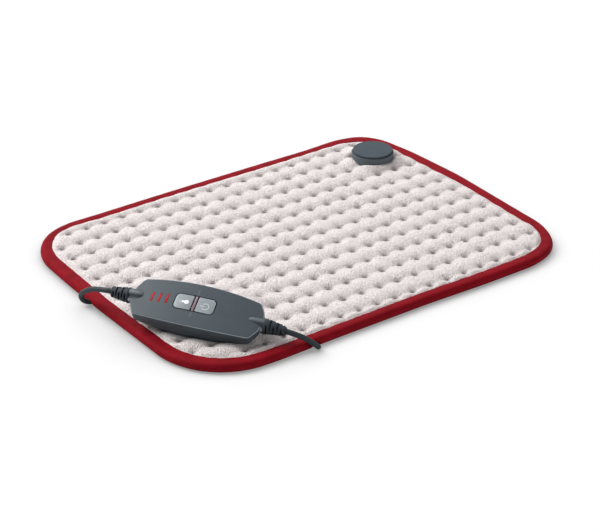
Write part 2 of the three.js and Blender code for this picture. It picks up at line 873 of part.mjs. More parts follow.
function controllerRing(inset, heightAt) {
  const quarter = quarterOutline(inset);
  const mirrored = quarter.slice(1).reverse().map((p) => new THREE.Vector2(-p.x, p.y));
  const side = [...mirrored, ...quarter];
  return [
    ...side.map((p) => point(p.x, -p.y, heightAt(p.x))),
    ...side.reverse().map((p) => point(p.x, p.y, heightAt(p.x))),
  ];
}

const partingLow = partingHeight - touchGap;
const towardBelly = (share) => (x) => THREE.MathUtils.lerp(partingLow, bellyHeight(x), share);
const level = (height) => () => height;

function controllerEnvelope() {
  const grow = -touchGap;
  const hull = loft([
    controllerRing(grow, faceHeight),
    controllerRing(grow, towardBelly(0.45)),
    controllerRing(bilgeInset + grow, (x) => towardBelly(0.8)(x) + grow),
    controllerRing(bellyInset + grow, (x) => bellyHeight(x) + grow),
  ]);
  return controllerPlace(hull);
}

function controllerPlace(geometry) {
  const [roll, dip, heading] = [controllerRoll, controllerDip, controllerHeading].map(radians);
  const turn = new THREE.Euler(roll, dip, heading, 'ZYX');
  const matrix = new THREE.Matrix4().makeRotationFromEuler(turn);
  matrix.setPosition(controllerX, controllerY, controllerAltitude);
  return geometry.applyMatrix4(matrix);
}

function screwPlaces() {
  const places = [];
  for (const x of [-screwAlong, screwAlong]) {
    for (const y of [-screwAcross, screwAcross]) {
      places.push([x, y]);
    }
  }
  return places;
}

const levelLightPlaces = [0, 1, 2].map((i) => levelLightFromEnd - halfLength + i * levelLightPitch);
const buttonMiddle = (buttonSize + buttonSpacing) / 2;

function glandBoss(side) {
  const start = halfLength - bossLength;
  const boss = alongX(turned([
    [0, start],
    [bossTipRadius * 0.7, start + bossTipRadius * 0.3],
    [bossTipRadius, start + bossTipRadius],
    [bossRadius, halfLength - controllerDraft],
    [0, halfLength - controllerDraft],
  ])).translate(0, 0, partingHeight);
  const below = box(controllerLength, controllerMidWidth, controllerMidWidth, halfLength, 0, 0);
  const kept = cut(toSolid(boss), below.translate(0, 0, partingHeight - controllerMidWidth / 2));
  return toGeometry(kept).rotateZ(side < 0 ? Math.PI : 0);
}

function neckBore(side) {
  const reach = neckLength + touchGap;
  const bore = alongX(rod(neckRadius + touchGap, halfLength - reach, halfLength + reach));
  return bore.translate(0, 0, partingHeight).rotateZ(side < 0 ? Math.PI : 0);
}

function topShell() {
  const ceiling = (x) => faceHeight(x) - controllerWall;
  const shell = loft([
    controllerRing(controllerEdge, faceHeight),
    controllerRing(0, (x) => faceHeight(x) - controllerEdge),
    controllerRing(controllerDraft, level(partingHeight)),
    controllerRing(controllerDraft + controllerWall, level(partingHeight)),
    controllerRing(controllerEdge + controllerWall, ceiling),
  ]);
  const posts = screwPlaces().map(([x, y]) => (
    rod(screwRadius + postWall, partingHeight, ceiling(x) + controllerWall / 2).translate(x, y, 0)
  ));
  const bores = screwPlaces().map(([x, y]) => (
    rod(screwRadius + touchGap, partingHeight - touchGap, ceiling(x) - controllerWall / 2).translate(x, y, 0)
  ));
  const window = roundedRectangle(
    2 * buttonSize + buttonSpacing + 2 * touchGap,
    buttonSize + 2 * touchGap,
    buttonCorner + touchGap,
  );
  const lightWindow = roundedRectangle(
    levelLightWidth + 2 * touchGap,
    levelLightLength + 2 * touchGap,
    touchGap,
  );
  const openings = levelLightPlaces.map((x) => (
    prism(lightWindow, partingHeight, 2 * controllerArch, 1).translate(x, 0, 0)
  ));
  const whole = join(toSolid(shell), ...posts, glandBoss(-1), glandBoss(1));
  return toGeometry(cut(
    whole,
    ...bores,
    ...openings,
    prism(window, partingHeight, 2 * controllerArch, 2),
    neckBore(-1),
    neckBore(1),
  ));
}

const bottomRings = () => [
  controllerRing(controllerDraft, level(partingLow)),
  controllerRing(3 * controllerDraft, towardBelly(0.45)),
  controllerRing(bilgeInset, towardBelly(0.8)),
  controllerRing(bellyInset, bellyHeight),
];

function bottomShell() {
  const floor = (x) => bellyHeight(x) + controllerWall;
  const shell = loft([
    controllerRing(bellyInset + controllerWall / 2, floor),
    controllerRing(bilgeInset + controllerWall, (x) => towardBelly(0.8)(x) + controllerWall / 2),
    controllerRing(controllerDraft + controllerWall, level(partingLow)),
    ...bottomRings(),
  ]);
  const inFloor = (x) => floor(x) - controllerWall / 2;
  const posts = screwPlaces().map(([x, y]) => (
    rod(screwHeadRadius + postWall, inFloor(x), partingLow).translate(x, y, 0)
  ));
  const ribs = [-ribAlong, ribAlong].map((x) => {
    const top = boardLow - touchGap;
    const bottom = inFloor(x);
    return box(ribThickness, boardWidth - 2 * postWall, top - bottom, x, 0, (top + bottom) / 2);
  });
  const bores = screwPlaces().flatMap(([x, y]) => [
    rod(screwRadius + touchGap, 2 * bellyHeight(0), 0).translate(x, y, 0),
    rod(screwHeadRadius + touchGap, 2 * bellyHeight(0), screwSeat(x)).translate(x, y, 0),
  ]);
  const hull = toSolid(loft(bottomRings()));
  const inside = join(toSolid(posts[0]), ...posts.slice(1), ...ribs).intersect(hull);
  return toGeometry(cut(toSolid(shell).add(inside), ...bores, neckBore(-1), neckBore(1)));
}

const boardHigh = partingHeight;
const boardLow = boardHigh - boardThickness;
const screwSeat = (x) => bellyHeight(x) + 2 * screwHeadHeight + touchGap;

// Button with its flange under the housing wall and its stem above the switch
const buttonCeiling = faceHeight(buttonSpacing / 2 + buttonSize + buttonFlange) - controllerWall;
const flangeTop = buttonCeiling - touchGap;
const switchTop = boardHigh + touchGap + switchHeight;
const plungerTop = switchTop + plungerStand;

const faceBlock = (proud) => toSolid(loft([
  controllerRing(0, (x) => faceHeight(x) + proud),
  controllerRing(0, level(partingHeight)),
]));

function button(side) {
  const corners = [buttonCorner, buttonInnerCorner];
  const [leftCorner, rightCorner] = side < 0 ? corners : corners.reverse();
  const outline = roundedRectangle(buttonSize, buttonSize, leftCorner, rightCorner);
  const flange = roundedRectangle(
    buttonSize + buttonFlange,
    buttonSize + 2 * buttonFlange,
    buttonInnerCorner,
  );
  const cap = prism(outline, flangeTop - flangeThickness / 2, 2 * controllerArch, 2);
  cap.translate(side * buttonMiddle, 0, 0);
  const foot = prism(flange, flangeTop - flangeThickness, flangeTop, 1);
  const stem = rod(stemRadius, plungerTop + touchGap, flangeTop - flangeThickness / 2);
  return toGeometry(join(
    toSolid(cap).intersect(faceBlock(buttonProud)),
    foot.translate(side * (buttonMiddle + buttonFlange / 2), 0, 0),
    stem.translate(side * buttonMiddle, 0, 0),
  ));
}

// Light guides: a bar in the face on a blade that stands over its light
function dividerLight() {
  const width = buttonSpacing - 2 * touchGap;
  const shape = roundedRectangle(width, buttonSize, buttonInnerCorner);
  const bar = prism(shape, flangeTop - flangeThickness, 2 * controllerArch, 1);
  const [low, high] = [boardHigh + touchGap, flangeTop];
  const blade = box(bladeWidth, bladeLength, high - low, 0, 0, (low + high) / 2);
  return toGeometry(join(toSolid(bar).intersect(faceBlock(0)), blade));
}

function levelLight(x) {
  const shape = roundedRectangle(levelLightWidth, levelLightLength, touchGap);
  const low = boardHigh + ledHeight + 2 * touchGap;
  const bar = prism(shape, low, 2 * controllerArch, 1).translate(x, 0, 0);
  return toGeometry(toSolid(bar).intersect(faceBlock(0)));
}

function circuitBoard() {
  const waist = box(boardWaistLength, boardWidth, boardThickness, 0, 0, (boardLow + boardHigh) / 2);
  const endWidth = 2 * (screwAcross - screwHeadRadius - postWall - touchGap);
  const full = box(boardLength, endWidth, boardThickness, 0, 0, (boardLow + boardHigh) / 2);
  return toGeometry(join(toSolid(waist), full));
}

function switchBody() {
  const low = boardHigh + touchGap;
  const body = box(switchSize, switchSize, switchHeight, 0, 0, low + switchHeight / 2);
  const bore = rod(plungerRadius + touchGap, switchTop - plungerDepth, switchTop + plungerStand);
  return toGeometry(cut(toSolid(body), bore));
}

const plunger = () => rod(plungerRadius, switchTop - plungerDepth / 2, plungerTop);

// Ribbed strain relief with a neck that the two shells close round
function reliefProfile(length, rootRadius, tipRadius, grooves, depth) {
  const pitch = length / (grooves + 1);
  const radiusAt = (along) => THREE.MathUtils.lerp(rootRadius, tipRadius, along / length);
  const profile = [[rootRadius - depth / 2, 0], [rootRadius, depth / 2]];
  for (let i = 0; i < grooves; i += 1) {
    const start = (i + 0.75) * pitch;
    const end = start + 0.4 * pitch;
    profile.push(
      [radiusAt(start), start],
      [radiusAt(start) - depth, (start + end) / 2],
      [radiusAt(end), end],
    );
  }
  profile.push([tipRadius, length - depth / 2], [tipRadius - depth / 2, length]);
  return profile;
}

function strainRelief(side) {
  const ribs = reliefProfile(
    reliefLength,
    reliefRootRadius,
    reliefTipRadius,
    reliefGrooves,
    reliefGrooveDepth,
  );
  const start = halfLength + touchGap;
  const profile = [
    [0, halfLength - neckLength],
    [neckRadius, halfLength - neckLength],
    [neckRadius, start],
    ...ribs.map(([radius, along]) => [radius, start + along]),
    [0, start + reliefLength],
  ];
  return alongX(turned(profile, smallSides)).translate(0, 0, partingHeight).rotateZ(side < 0 ? Math.PI : 0);
}

function boardParts() {
  const seat = boardHigh + touchGap;
  const room = faceHeight(boardWaistLength / 2) - controllerWall - touchGap - seat;
  const end = boardWaistLength / 2;
  const fuse = { length: 15, radius: room / 2, x: end - 10, y: 10 };
  const triac = { length: 10, width: 4.5, height: room, x: end - 8, y: 0 };
  const capacitor = { length: 13, width: 5, height: room, x: end - 10, y: -9.5 };
  const block = ({ length, width, height, x, y }) => box(length, width, height, x, y, seat + height / 2);
  const capped = alongX(turned([
    [0, -fuse.length / 2],
    [fuse.radius, -fuse.length / 2],
    [fuse.radius, -fuse.length / 4],
    [fuse.radius - touchGap, -fuse.length / 4],
    [fuse.radius - touchGap, fuse.length / 4],
    [fuse.radius, fuse.length / 4],
    [fuse.radius, fuse.length / 2],
    [0, fuse.length / 2],
  ], smallSides)).translate(fuse.x, fuse.y, seat + fuse.radius);
  return [
    piece('mains_fuse', capped, glassClear),
    piece('triac', block(triac), partBlack),
    piece('capacitor', block(capacitor), partBlue),
  ];
}

function controller() {
  const group = new THREE.Group();
  controllerPlace(group);
  group.add(
    piece('controller_top_shell', topShell(), slate),
    piece('controller_bottom_shell', bottomShell(), slateDark),
    piece('heat_button', button(-1), buttonGrey),
    piece('power_button', button(1), buttonGrey),
    piece('divider_light', dividerLight(), stripRed),
    piece('circuit_board', circuitBoard(), boardGreen),
    piece('heat_switch', switchBody().translate(-buttonMiddle, 0, 0), partBlack),
    piece('power_switch', switchBody().translate(buttonMiddle, 0, 0), partBlack),
    piece('heat_plunger', plunger().translate(-buttonMiddle, 0, 0), partBlack),
    piece('power_plunger', plunger().translate(buttonMiddle, 0, 0), partBlack),
    piece('left_strain_relief', strainRelief(-1), rubberDark),
    piece('right_strain_relief', strainRelief(1), rubberDark),
    ...boardParts(),
  );
  levelLightPlaces.forEach((x, i) => {
    const led = box(ledWidth, ledLength, ledHeight, x, 0, boardHigh + touchGap + ledHeight / 2);
    group.add(
      piece(`level_light_${i + 1}`, levelLight(x), lightRed),
      piece(`level_led_${i + 1}`, led, glassClear),
    );
  });
  screwPlaces().forEach(([x, y], i) => {
    const made = piece(`housing_screw_${i + 1}`, screw(screwLength), steel);
    made.position.set(x, y, screwSeat(x) - touchGap - screwHeadHeight);
    group.add(made);
  });
  return group;
}

// Leads: points from the controller's ends over the pad's edge and then along the floor under the pad
function reliefEnd(side, beyond) {
  const reach = halfLength + touchGap + reliefLength + touchGap + beyond;
  const marker = new THREE.BufferGeometry().setFromPoints([point(side * reach, 0, partingHeight)]);
  return new THREE.Vector3().fromBufferAttribute(controllerPlace(marker).getAttribute('position'), 0);
}

const leadStart = 5;

function padLeadRoute() {
  const tip = couplingX - baseRadius - snoutLength - touchGap;
  return [
    reliefEnd(-1, 0),
    reliefEnd(-1, leadStart),
    fromCorner(-7, 151.4, 32),
    fromCorner(-10, 162, 28.5),
    fromCorner(-11.8, 172, 22.5),
    fromCorner(-12, 179.5, 16),
    fromCorner(-10.9, 182.3, 11),
    fromCorner(-7.9, 183.3, 6.3),
    fromCorner(-2.5, 182.6, 3.4),
    fromCorner(5, 182, coilHeight),
    fromCorner(20, 182.5, coilHeight),
    fromCorner(70, 190, coilHeight),
    fromCorner(130, 205, coilHeight),
    fromCorner(200, 229, coilHeight),
    fromCorner(270, 250, coilHeight),
    point(tip - 25, couplingY - 1, coilHeight),
    point(tip - 8, couplingY, coilHeight),
    point(tip, couplingY, coilHeight),
  ];
}

function mainsLeadRoute() {
  const end = coilEnd(coilLeadTurns);
  return [
    reliefEnd(1, 0),
    reliefEnd(1, leadStart),
    fromCorner(103.5, 2, 19.5),
    fromCorner(110.5, -2.3, 15),
    fromCorner(116.2, -6, 10.5),
    fromCorner(120.2, -7.9, 6.5),
    fromCorner(122.7, -6.8, 4),
    fromCorner(124, -2.5, coilHeight),
    fromCorner(124.6, 5, coilHeight),
    fromCorner(126, 15, coilHeight),
    fromCorner(137, 27, coilHeight),
    fromCorner(148.5, 49, coilHeight),
    fromCorner(154.5, 78, coilHeight),
    point(end.x, end.y - touchGap - 14, coilHeight),
    point(end.x, end.y - touchGap - 5, coilHeight),
    point(end.x, end.y - touchGap, coilHeight),
  ];
}

// Wound-up length: the lead folded in two and rolled flat, so both its ends leave side by side
const turnGrowth = 2 * strandPitch;
const coilEnd = (turns) => (
  point(coilX - coilInnerRadius - turns * turnGrowth, coilY - coilStraight, coilHeight)
);

function coilRoute() {
  const spiral = (startAngle, turns) => {
    const points = [];
    for (let i = 0; i <= turns * coilStepsPerTurn; i += 1) {
      const share = i / coilStepsPerTurn;
      const angle = startAngle + share * 2 * Math.PI;
      const radius = coilInnerRadius + share * turnGrowth;
      points.push(point(coilX + radius * Math.cos(angle), coilY + radius * Math.sin(angle), coilHeight));
    }
    return points;
  };
  const half = coilInnerRadius / 2;
  const fold = [
    ...arcPoints(coilX - half, coilY, half, 180, 0, coilStepsPerTurn / 2).slice(1),
    ...arcPoints(coilX + half, coilY, half, 180, 360, coilStepsPerTurn / 2).slice(1, -1),
  ].map((p) => point(p.x, p.y, coilHeight));
  return [
    coilEnd(coilTailTurns),
    ...spiral(Math.PI, coilTailTurns).reverse(),
    ...fold,
    ...spiral(0, coilLeadTurns),
    coilEnd(coilLeadTurns),
  ];
}

function leastGap(points, diameter) {
  const along = [0];
  points.slice(1).forEach((p, i) => along.push(along[i] + p.distanceTo(points[i])));
  let least = Infinity;
  points.forEach((p, i) => {
    points.forEach((q, j) => {
      if (along[j] - along[i] > 3 * diameter) {
        least = Math.min(least, p.distanceTo(q) - diameter);
      }
    });
  });
  return least;
}

function coilTie() {
  const innerEdge = coilInnerRadius - cordDiameter / 2 - tieSideGap;
  const outerEdge = coilInnerRadius + 3 * strandPitch + cordDiameter / 2 + tieSideGap;
  const opening = { width: outerEdge - innerEdge, height: cordDiameter + 2 * tieGap };
  const middle = coilX + (innerEdge + outerEdge) / 2;
  const outer = roundedRectangle(
    opening.width + 2 * tieThickness,
    opening.height + 2 * tieThickness,
    2 * tieThickness,
  );
  outer.holes.push(roundedRectangle(opening.width, opening.height, tieThickness));
  const band = prism(outer, -tieWidth / 2, tieWidth / 2, 2).rotateX(Math.PI / 2);
  return band.translate(middle, coilY, coilHeight);
}

// Mains plug lying flat, pins towards its own -X
function plugBody() {
  const [face, end] = [plugFace + plugEdge, plugEnd - plugEdge];
  const [wide, narrow] = [plugWidth / 2 - plugEdge, plugTailWidth / 2 - plugEdge];
  const shape = new THREE.Shape();
  shape.moveTo(face, -wide);
  shape.lineTo(face + plugShoulder, -wide);
  shape.quadraticCurveTo(end - plugEdge, -wide, end, -narrow);
  shape.lineTo(end, narrow);
  shape.quadraticCurveTo(end - plugEdge, wide, face + plugShoulder, wide);
  shape.lineTo(face, wide);
  shape.closePath();
  const body = new THREE.ExtrudeGeometry(shape, {
    depth: plugThickness - 2 * plugEdge,
    bevelThickness: plugEdge,
    bevelSize: plugEdge,
    bevelSegments: 2,
    curveSegments: 5,
  });
  return body.translate(0, 0, floorGap + plugEdge);
}

function plugPin(side) {
  const radius = pinDiameter / 2;
  const sleeve = radius - touchGap / 3;
  const pin = alongX(turned([
    [0, -pinLength],
    [radius / 2, -pinLength],
    [radius, -pinLength + radius / 2],
    [radius, -pinLength / 2],
    [sleeve, -pinLength / 2],
    [sleeve, -touchGap],
    [0, -touchGap],
  ], smallSides));
  return pin.translate(plugFace, side * pinSpacing / 2 + plugAcross, plugMiddle);
}

function plugRelief() {
  const tipRadius = cordDiameter / 2 + touchGap;
  const profile = [
    [0, 0],
    ...reliefProfile(plugReliefLength, plugReliefRadius, tipRadius, 3, touchGap * 2),
    [0, plugReliefLength],
  ];
  return alongX(turned(profile, smallSides)).translate(plugEnd + touchGap, plugAcross, plugMiddle);
}

function mainsTailRoute() {
  const start = plugEnd + plugReliefLength + 2 * touchGap;
  const fromPlug = (along, drop) => {
    const spot = new THREE.Vector2(start + along, plugAcross);
    spot.rotateAround(new THREE.Vector2(), radians(controllerHeading));
    return point(spot.x + controllerX, spot.y + controllerY, plugMiddle - drop * (plugMiddle - coilHeight));
  };
  const end = coilEnd(coilTailTurns);
  return [
    fromPlug(0, 0),
    fromPlug(5, 0.05),
    fromPlug(11, 0.3),
    fromPlug(18, 0.68),
    fromPlug(25, 0.95),
    fromCorner(110.6, 38.5, coilHeight),
    fromCorner(122.6, 38, coilHeight),
    fromCorner(132.7, 44.4, coilHeight),
    fromCorner(137.5, 54, coilHeight),
    fromCorner(143.5, 76, coilHeight),
    fromCorner(148.5, 100, coilHeight),
    point(end.x - 1, end.y - touchGap - 18, coilHeight),
    point(end.x, end.y - touchGap - 5, coilHeight),
    point(end.x, end.y - touchGap, coilHeight),
  ];
}

const heatingPad = new THREE.Group();
const coilPoints = coilRoute();
console.log('least gap between strands of the coil', leastGap(coilPoints, cordDiameter).toFixed(2), 'mm');
heatingPad.add(
  piece('top_cover', topCover(), fleece),
  piece('edge_binding', edgeBinding(), tape),
  piece('heater_carrier', padLayer(carrierBottom, carrierTop), cloth),
  piece('bottom_cover', padLayer(undersideHeight, bottomCoverTop), fleece),
  piece('heating_wire', tube(wireRoute(), wireDiameter, wireSides), heaterCover),
  piece('temperature_sensor', temperatureSensor(), partBlack),
  coupling(),
  controller(),
  piece('pad_lead', cordTube(padLeadRoute()), rubberDark),
  piece('mains_lead', cordTube(mainsLeadRoute()), rubberDark),
  piece('mains_coil', tube(coilPoints, cordDiameter, coilSides), rubberDark),
  piece('mains_tail', cordTube(mainsTailRoute()), rubberDark),
  piece('coil_tie', coilTie(), strap),
  piece('plug_body', placeWithPlug(plugBody().translate(0, plugAcross, 0)), rubberDark),
  piece('plug_pin_1', placeWithPlug(plugPin(-1)), steel),
  piece('plug_pin_2', placeWithPlug(plugPin(1)), steel),
  piece('plug_strain_relief', placeWithPlug(plugRelief()), rubberDark),
);

export default heatingPad;
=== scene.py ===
import json
import math

import bmesh
import bpy
import numpy as np
from mathutils import Euler, Matrix, Vector
from mathutils.bvhtree import BVHTree


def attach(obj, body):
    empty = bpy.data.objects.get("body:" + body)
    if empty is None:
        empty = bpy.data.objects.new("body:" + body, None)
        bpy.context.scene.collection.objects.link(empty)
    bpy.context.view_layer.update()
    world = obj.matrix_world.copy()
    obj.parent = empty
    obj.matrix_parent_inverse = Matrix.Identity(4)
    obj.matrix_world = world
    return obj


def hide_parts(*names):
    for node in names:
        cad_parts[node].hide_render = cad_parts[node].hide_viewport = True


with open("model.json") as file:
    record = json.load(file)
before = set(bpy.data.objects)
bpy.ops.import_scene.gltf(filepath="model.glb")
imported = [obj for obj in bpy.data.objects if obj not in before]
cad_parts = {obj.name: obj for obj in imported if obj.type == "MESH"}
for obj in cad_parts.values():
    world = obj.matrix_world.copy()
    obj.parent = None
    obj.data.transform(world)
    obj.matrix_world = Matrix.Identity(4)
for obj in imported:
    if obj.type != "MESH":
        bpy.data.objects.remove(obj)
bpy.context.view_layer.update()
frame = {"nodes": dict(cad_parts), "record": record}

mm = 0.001
nodes = frame["nodes"]
scene = bpy.context.scene
scene.view_settings.view_transform = "Standard"
bpy.ops.object.select_all(action="DESELECT")


# small helpers

def srgb(red, green, blue):
    linear = [((c / 255 + 0.055) / 1.055) ** 2.4 if c > 10 else c / 3294 for c in (red, green, blue)]
    return linear + [1]


def bell(distance, width):
    return np.exp(-((distance / width) ** 2))


def only(piece):
    bpy.ops.object.select_all(action="DESELECT")
    piece.select_set(True)
    bpy.context.view_layer.objects.active = piece


def named(name):
    piece = bpy.context.object
    piece.name = name
    piece.data.name = name
    return piece


def newPiece(name, mesh):
    piece = bpy.data.objects.new(name, mesh)
    scene.collection.objects.link(piece)
    return piece


def fromPoints(name, points, edges, faces):
    mesh = bpy.data.meshes.new(name)
    mesh.from_pydata(points, edges, faces)
    return newPiece(name, mesh)


def fromBuilt(name, made):
    mesh = bpy.data.meshes.new(name)
    made.to_mesh(mesh)
    made.free()
    return newPiece(name, mesh)


def applyModifier(piece, kind, **values):
    only(piece)
    modifier = piece.modifiers.new(kind.lower(), kind)
    for key, value in values.items():
        setattr(modifier, key, value)
    bpy.ops.object.modifier_apply(modifier=modifier.name)


def bakePlace(piece):
    only(piece)
    bpy.ops.object.transform_apply(location=True, rotation=True, scale=True)


def putAt(piece, move=(0, 0, 0), tilt=0, turn=0):
    # millimetres, and radians about Y and Z
    piece.location = Vector(move) * mm
    piece.rotation_euler = (0, tilt, turn)
    bakePlace(piece)


def intoEdit(piece, action):
    only(piece)
    bpy.ops.object.mode_set(mode="EDIT")
    bpy.ops.mesh.select_mode(type="EDGE")
    bpy.ops.mesh.select_all(action=action)


def outEdit():
    bpy.ops.object.mode_set(mode="OBJECT")


def bevelEdges(piece, test, offset, segments):
    # bevels the edges whose two ends pass the test
    intoEdit(piece, "DESELECT")
    outEdit()
    points = piece.data.vertices
    for edge in piece.data.edges:
        first, last = edge.vertices
        edge.select = test(points[first].co, points[last].co)
    bpy.ops.object.mode_set(mode="EDIT")
    bpy.ops.mesh.bevel(offset=offset * mm, segments=segments, affect="EDGES")
    outEdit()


def faceOutward(piece):
    intoEdit(piece, "SELECT")
    bpy.ops.mesh.normals_make_consistent(inside=False)
    outEdit()


def smoothBy(piece, degrees):
    only(piece)
    bpy.ops.object.shade_smooth_by_angle(angle=math.radians(degrees))


def cutBy(piece, cutter):
    applyModifier(piece, "BOOLEAN", object=cutter, operation="DIFFERENCE", solver="EXACT")
    bpy.data.objects.remove(cutter)


def surfaceTree(mesh):
    return BVHTree.FromPolygons([v.co for v in mesh.vertices], [p.vertices for p in mesh.polygons])


def markPoints(piece, name, valueAt):
    # a number at each point, read by the finish
    layer = piece.data.attributes.new(name, "FLOAT", "POINT")
    for point, value in zip(piece.data.vertices, layer.data):
        value.value = valueAt(*(point.co / mm))


def wear(piece, material):
    piece.data.materials.clear()
    piece.data.materials.append(material)


def settle(piece, material, body="pad", stands=()):
    wear(piece, material)
    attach(piece, body)
    if stands:
        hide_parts(*stands)


# camera at the photograph's own angle, for a 600 x 532 picture

camera = dict(
    azimuth=-35.21, elevation=27.98, distance=1.97092, lens=120.86, shiftX=0.0060, shiftY=-0.0311,
)


def placeCamera():
    bpy.ops.object.camera_add()
    eye = bpy.context.object
    eye.name = "camera"
    turn = Euler((math.radians(90 - camera["elevation"]), 0, math.radians(camera["azimuth"])))
    eye.rotation_euler = turn
    eye.location = turn.to_matrix() @ Vector((0, 0, camera["distance"]))
    eye.data.lens = camera["lens"]
    eye.data.shift_x = camera["shiftX"]
    eye.data.shift_y = camera["shiftY"]
    scene.camera = eye


placeCamera()
print("camera placed")


# finishes

def startFinish(name):
    material = bpy.data.materials.new(name)
    material.use_nodes = True
    tree = material.node_tree
    return material, tree, tree.nodes["Principled BSDF"]


def fill(tree, made, inputs):
    # each input takes a link or a plain value
    for key, value in inputs.items():
        if isinstance(value, bpy.types.NodeSocket):
            tree.links.new(value, made.inputs[key])
        else:
            made.inputs[key].default_value = value


def node(tree, kind, inputs=None, **settings):
    made = tree.nodes.new(kind)
    for key, value in settings.items():
        setattr(made, key, value)
    fill(tree, made, inputs or {})
    return made


def objectCoords(tree):
    return node(tree, "ShaderNodeTexCoord").outputs["Object"]


def pointValue(tree, attribute):
    return node(tree, "ShaderNodeAttribute", attribute_name=attribute).outputs["Fac"]


def noise(tree, where, scale, detail, **more):
    inputs = {"Vector": where, "Scale": scale, "Detail": detail, **more}
    return node(tree, "ShaderNodeTexNoise", inputs).outputs["Fac"]


def calculate(tree, operation, *values):
    return node(tree, "ShaderNodeMath", dict(enumerate(values)), operation=operation).outputs[0]


def mixColours(tree, factor, first, second):
    return node(tree, "ShaderNodeMix", {0: factor, 6: first, 7: second}, data_type="RGBA").outputs[2]


def spread(tree, value, low, high, toLow, toHigh):
    inputs = {"Value": value, "From Min": low, "From Max": high, "To Min": toLow, "To Max": toHigh}
    return node(tree, "ShaderNodeMapRange", inputs).outputs["Result"]


def bumps(tree, height, strength, depth):
    inputs = {"Height": height, "Strength": strength, "Distance": depth * mm}
    return node(tree, "ShaderNodeBump", inputs).outputs["Normal"]


def shade(colour, factor):
    return [c * factor for c in colour[:3]] + [1]


plastic = dict(cloudScale=60, low=0.3, high=0.7, roughSpread=0.06, bump=0.5)


def moulded(name, colour, roughness, vary=0.08, grainScale=2600, grain=0.05, metallic=0, gloss=0.5, clear=0,
            paintedLightAndShade=()):
    # cloudy colour and a fine grain, with painted highlight and painted shade mixed in where a point value
    # marks them
    material, tree, shader = startFinish(name)
    where, base = objectCoords(tree), srgb(*colour)
    low, high, apart = plastic["low"], plastic["high"], plastic["roughSpread"]
    cloud = spread(tree, noise(tree, where, plastic["cloudScale"], detail=3), low, high, 0, 1)
    speck = noise(tree, where, grainScale, detail=2)
    tint = mixColours(tree, cloud, shade(base, 1 - vary), shade(base, 1 + vary))
    for attribute, tone in paintedLightAndShade:
        tint = mixColours(tree, pointValue(tree, attribute), tint, srgb(*tone))
    fill(tree, shader, {
        "Base Color": tint, "Roughness": spread(tree, speck, low, high, roughness - apart, roughness + apart),
        "Normal": bumps(tree, speck, plastic["bump"], grain), "Specular IOR Level": gloss,
        "Metallic": metallic, "Transmission Weight": clear,
    })
    return material


# the second fleece colour is painted shade, laid into the tufts, notches and quilt valleys
fleece = dict(
    colour=(242, 233, 231), paintedHollowShade=(124, 113, 113), napTurn=-35, napLength=1.8, pileScale=680,
    pileRoughness=0.7, pileSpan=(0.33, 0.67), pileDark=0.58, pilePale=1.16, pileBump=1, pileDepth=1,
    tuftScale=850, driftScale=55, driftSpan=(0.35, 0.65), driftShare=0.5, driftDark=0.95,
    roughness=0.95, gloss=0.1, sheen=0.12, sheenRoughness=0.6,
)


def fleeceFinish(name):
    # short pile brushed one way, so its grain is longer along the nap
    material, tree, shader = startFinish(name)
    where, colour = objectCoords(tree), srgb(*fleece["colour"])
    turn = (0, 0, math.radians(fleece["napTurn"]))
    brushed = {"Vector": where, "Rotation": turn, "Scale": (1, fleece["napLength"], 1)}
    nap = node(tree, "ShaderNodeMapping", brushed, vector_type="TEXTURE").outputs["Vector"]
    pile = noise(tree, nap, fleece["pileScale"], detail=4, Roughness=fleece["pileRoughness"])
    tufted = {"Vector": nap, "Scale": fleece["tuftScale"], "Randomness": 1}
    tufts = node(tree, "ShaderNodeTexVoronoi", tufted).outputs["Distance"]
    strands = spread(tree, pile, *fleece["pileSpan"], 0, 1)
    cloth = mixColours(tree, strands, shade(colour, fleece["pileDark"]), shade(colour, fleece["pilePale"]))
    drift = noise(tree, where, fleece["driftScale"], detail=3)
    worn = spread(tree, drift, *fleece["driftSpan"], 0, fleece["driftShare"])
    cloth = mixColours(tree, worn, cloth, shade(colour, fleece["driftDark"]))
    # painted shade in the tufts, notches and valleys, from a point value set on the quilt
    cloth = mixColours(tree, pointValue(tree, "paintedHollowShade"), cloth, srgb(*fleece["paintedHollowShade"]))
    raised = calculate(tree, "ADD", pile, tufts)
    fill(tree, shader, {
        "Base Color": cloth, "Normal": bumps(tree, raised, fleece["pileBump"], fleece["pileDepth"]),
        "Roughness": fleece["roughness"], "Specular IOR Level": fleece["gloss"],
        "Sheen Weight": fleece["sheen"], "Sheen Roughness": fleece["sheenRoughness"],
    })
    return material


weave = dict(
    colour=(131, 12, 26), threads=[(420, "DIAGONAL"), (520, "Y")], distortion=0.6, threadShare=0.35,
    threadDark=0.72, cloudScale=70, cloudSpan=(0.3, 0.7), cloudDark=0.82, cloudPale=1.12,
    bump=0.45, depth=0.12, roughness=0.7, gloss=0.06,
)


def tapeFinish(name):
    material, tree, shader = startFinish(name)
    colour = srgb(*weave["colour"])
    lengthwise = node(tree, "ShaderNodeUVMap", uv_map="along").outputs["UV"]
    threads = []
    for scale, direction in weave["threads"]:
        inputs = {"Vector": lengthwise, "Scale": scale, "Distortion": weave["distortion"], "Detail": 1}
        threads.append(node(tree, "ShaderNodeTexWave", inputs, bands_direction=direction).outputs["Fac"])
    crossed = calculate(tree, "MULTIPLY", *threads)
    cloud = noise(tree, objectCoords(tree), weave["cloudScale"], detail=4)
    cloud = spread(tree, cloud, *weave["cloudSpan"], 0, 1)
    cloth = mixColours(tree, cloud, shade(colour, weave["cloudDark"]), shade(colour, weave["cloudPale"]))
    between = spread(tree, crossed, 0, 1, 0, weave["threadShare"])
    cloth = mixColours(tree, between, cloth, shade(colour, weave["threadDark"]))
    fill(tree, shader, {
        "Base Color": cloth, "Normal": bumps(tree, crossed, weave["bump"], weave["depth"]),
        "Roughness": weave["roughness"], "Specular IOR Level": weave["gloss"],
    })
    return material
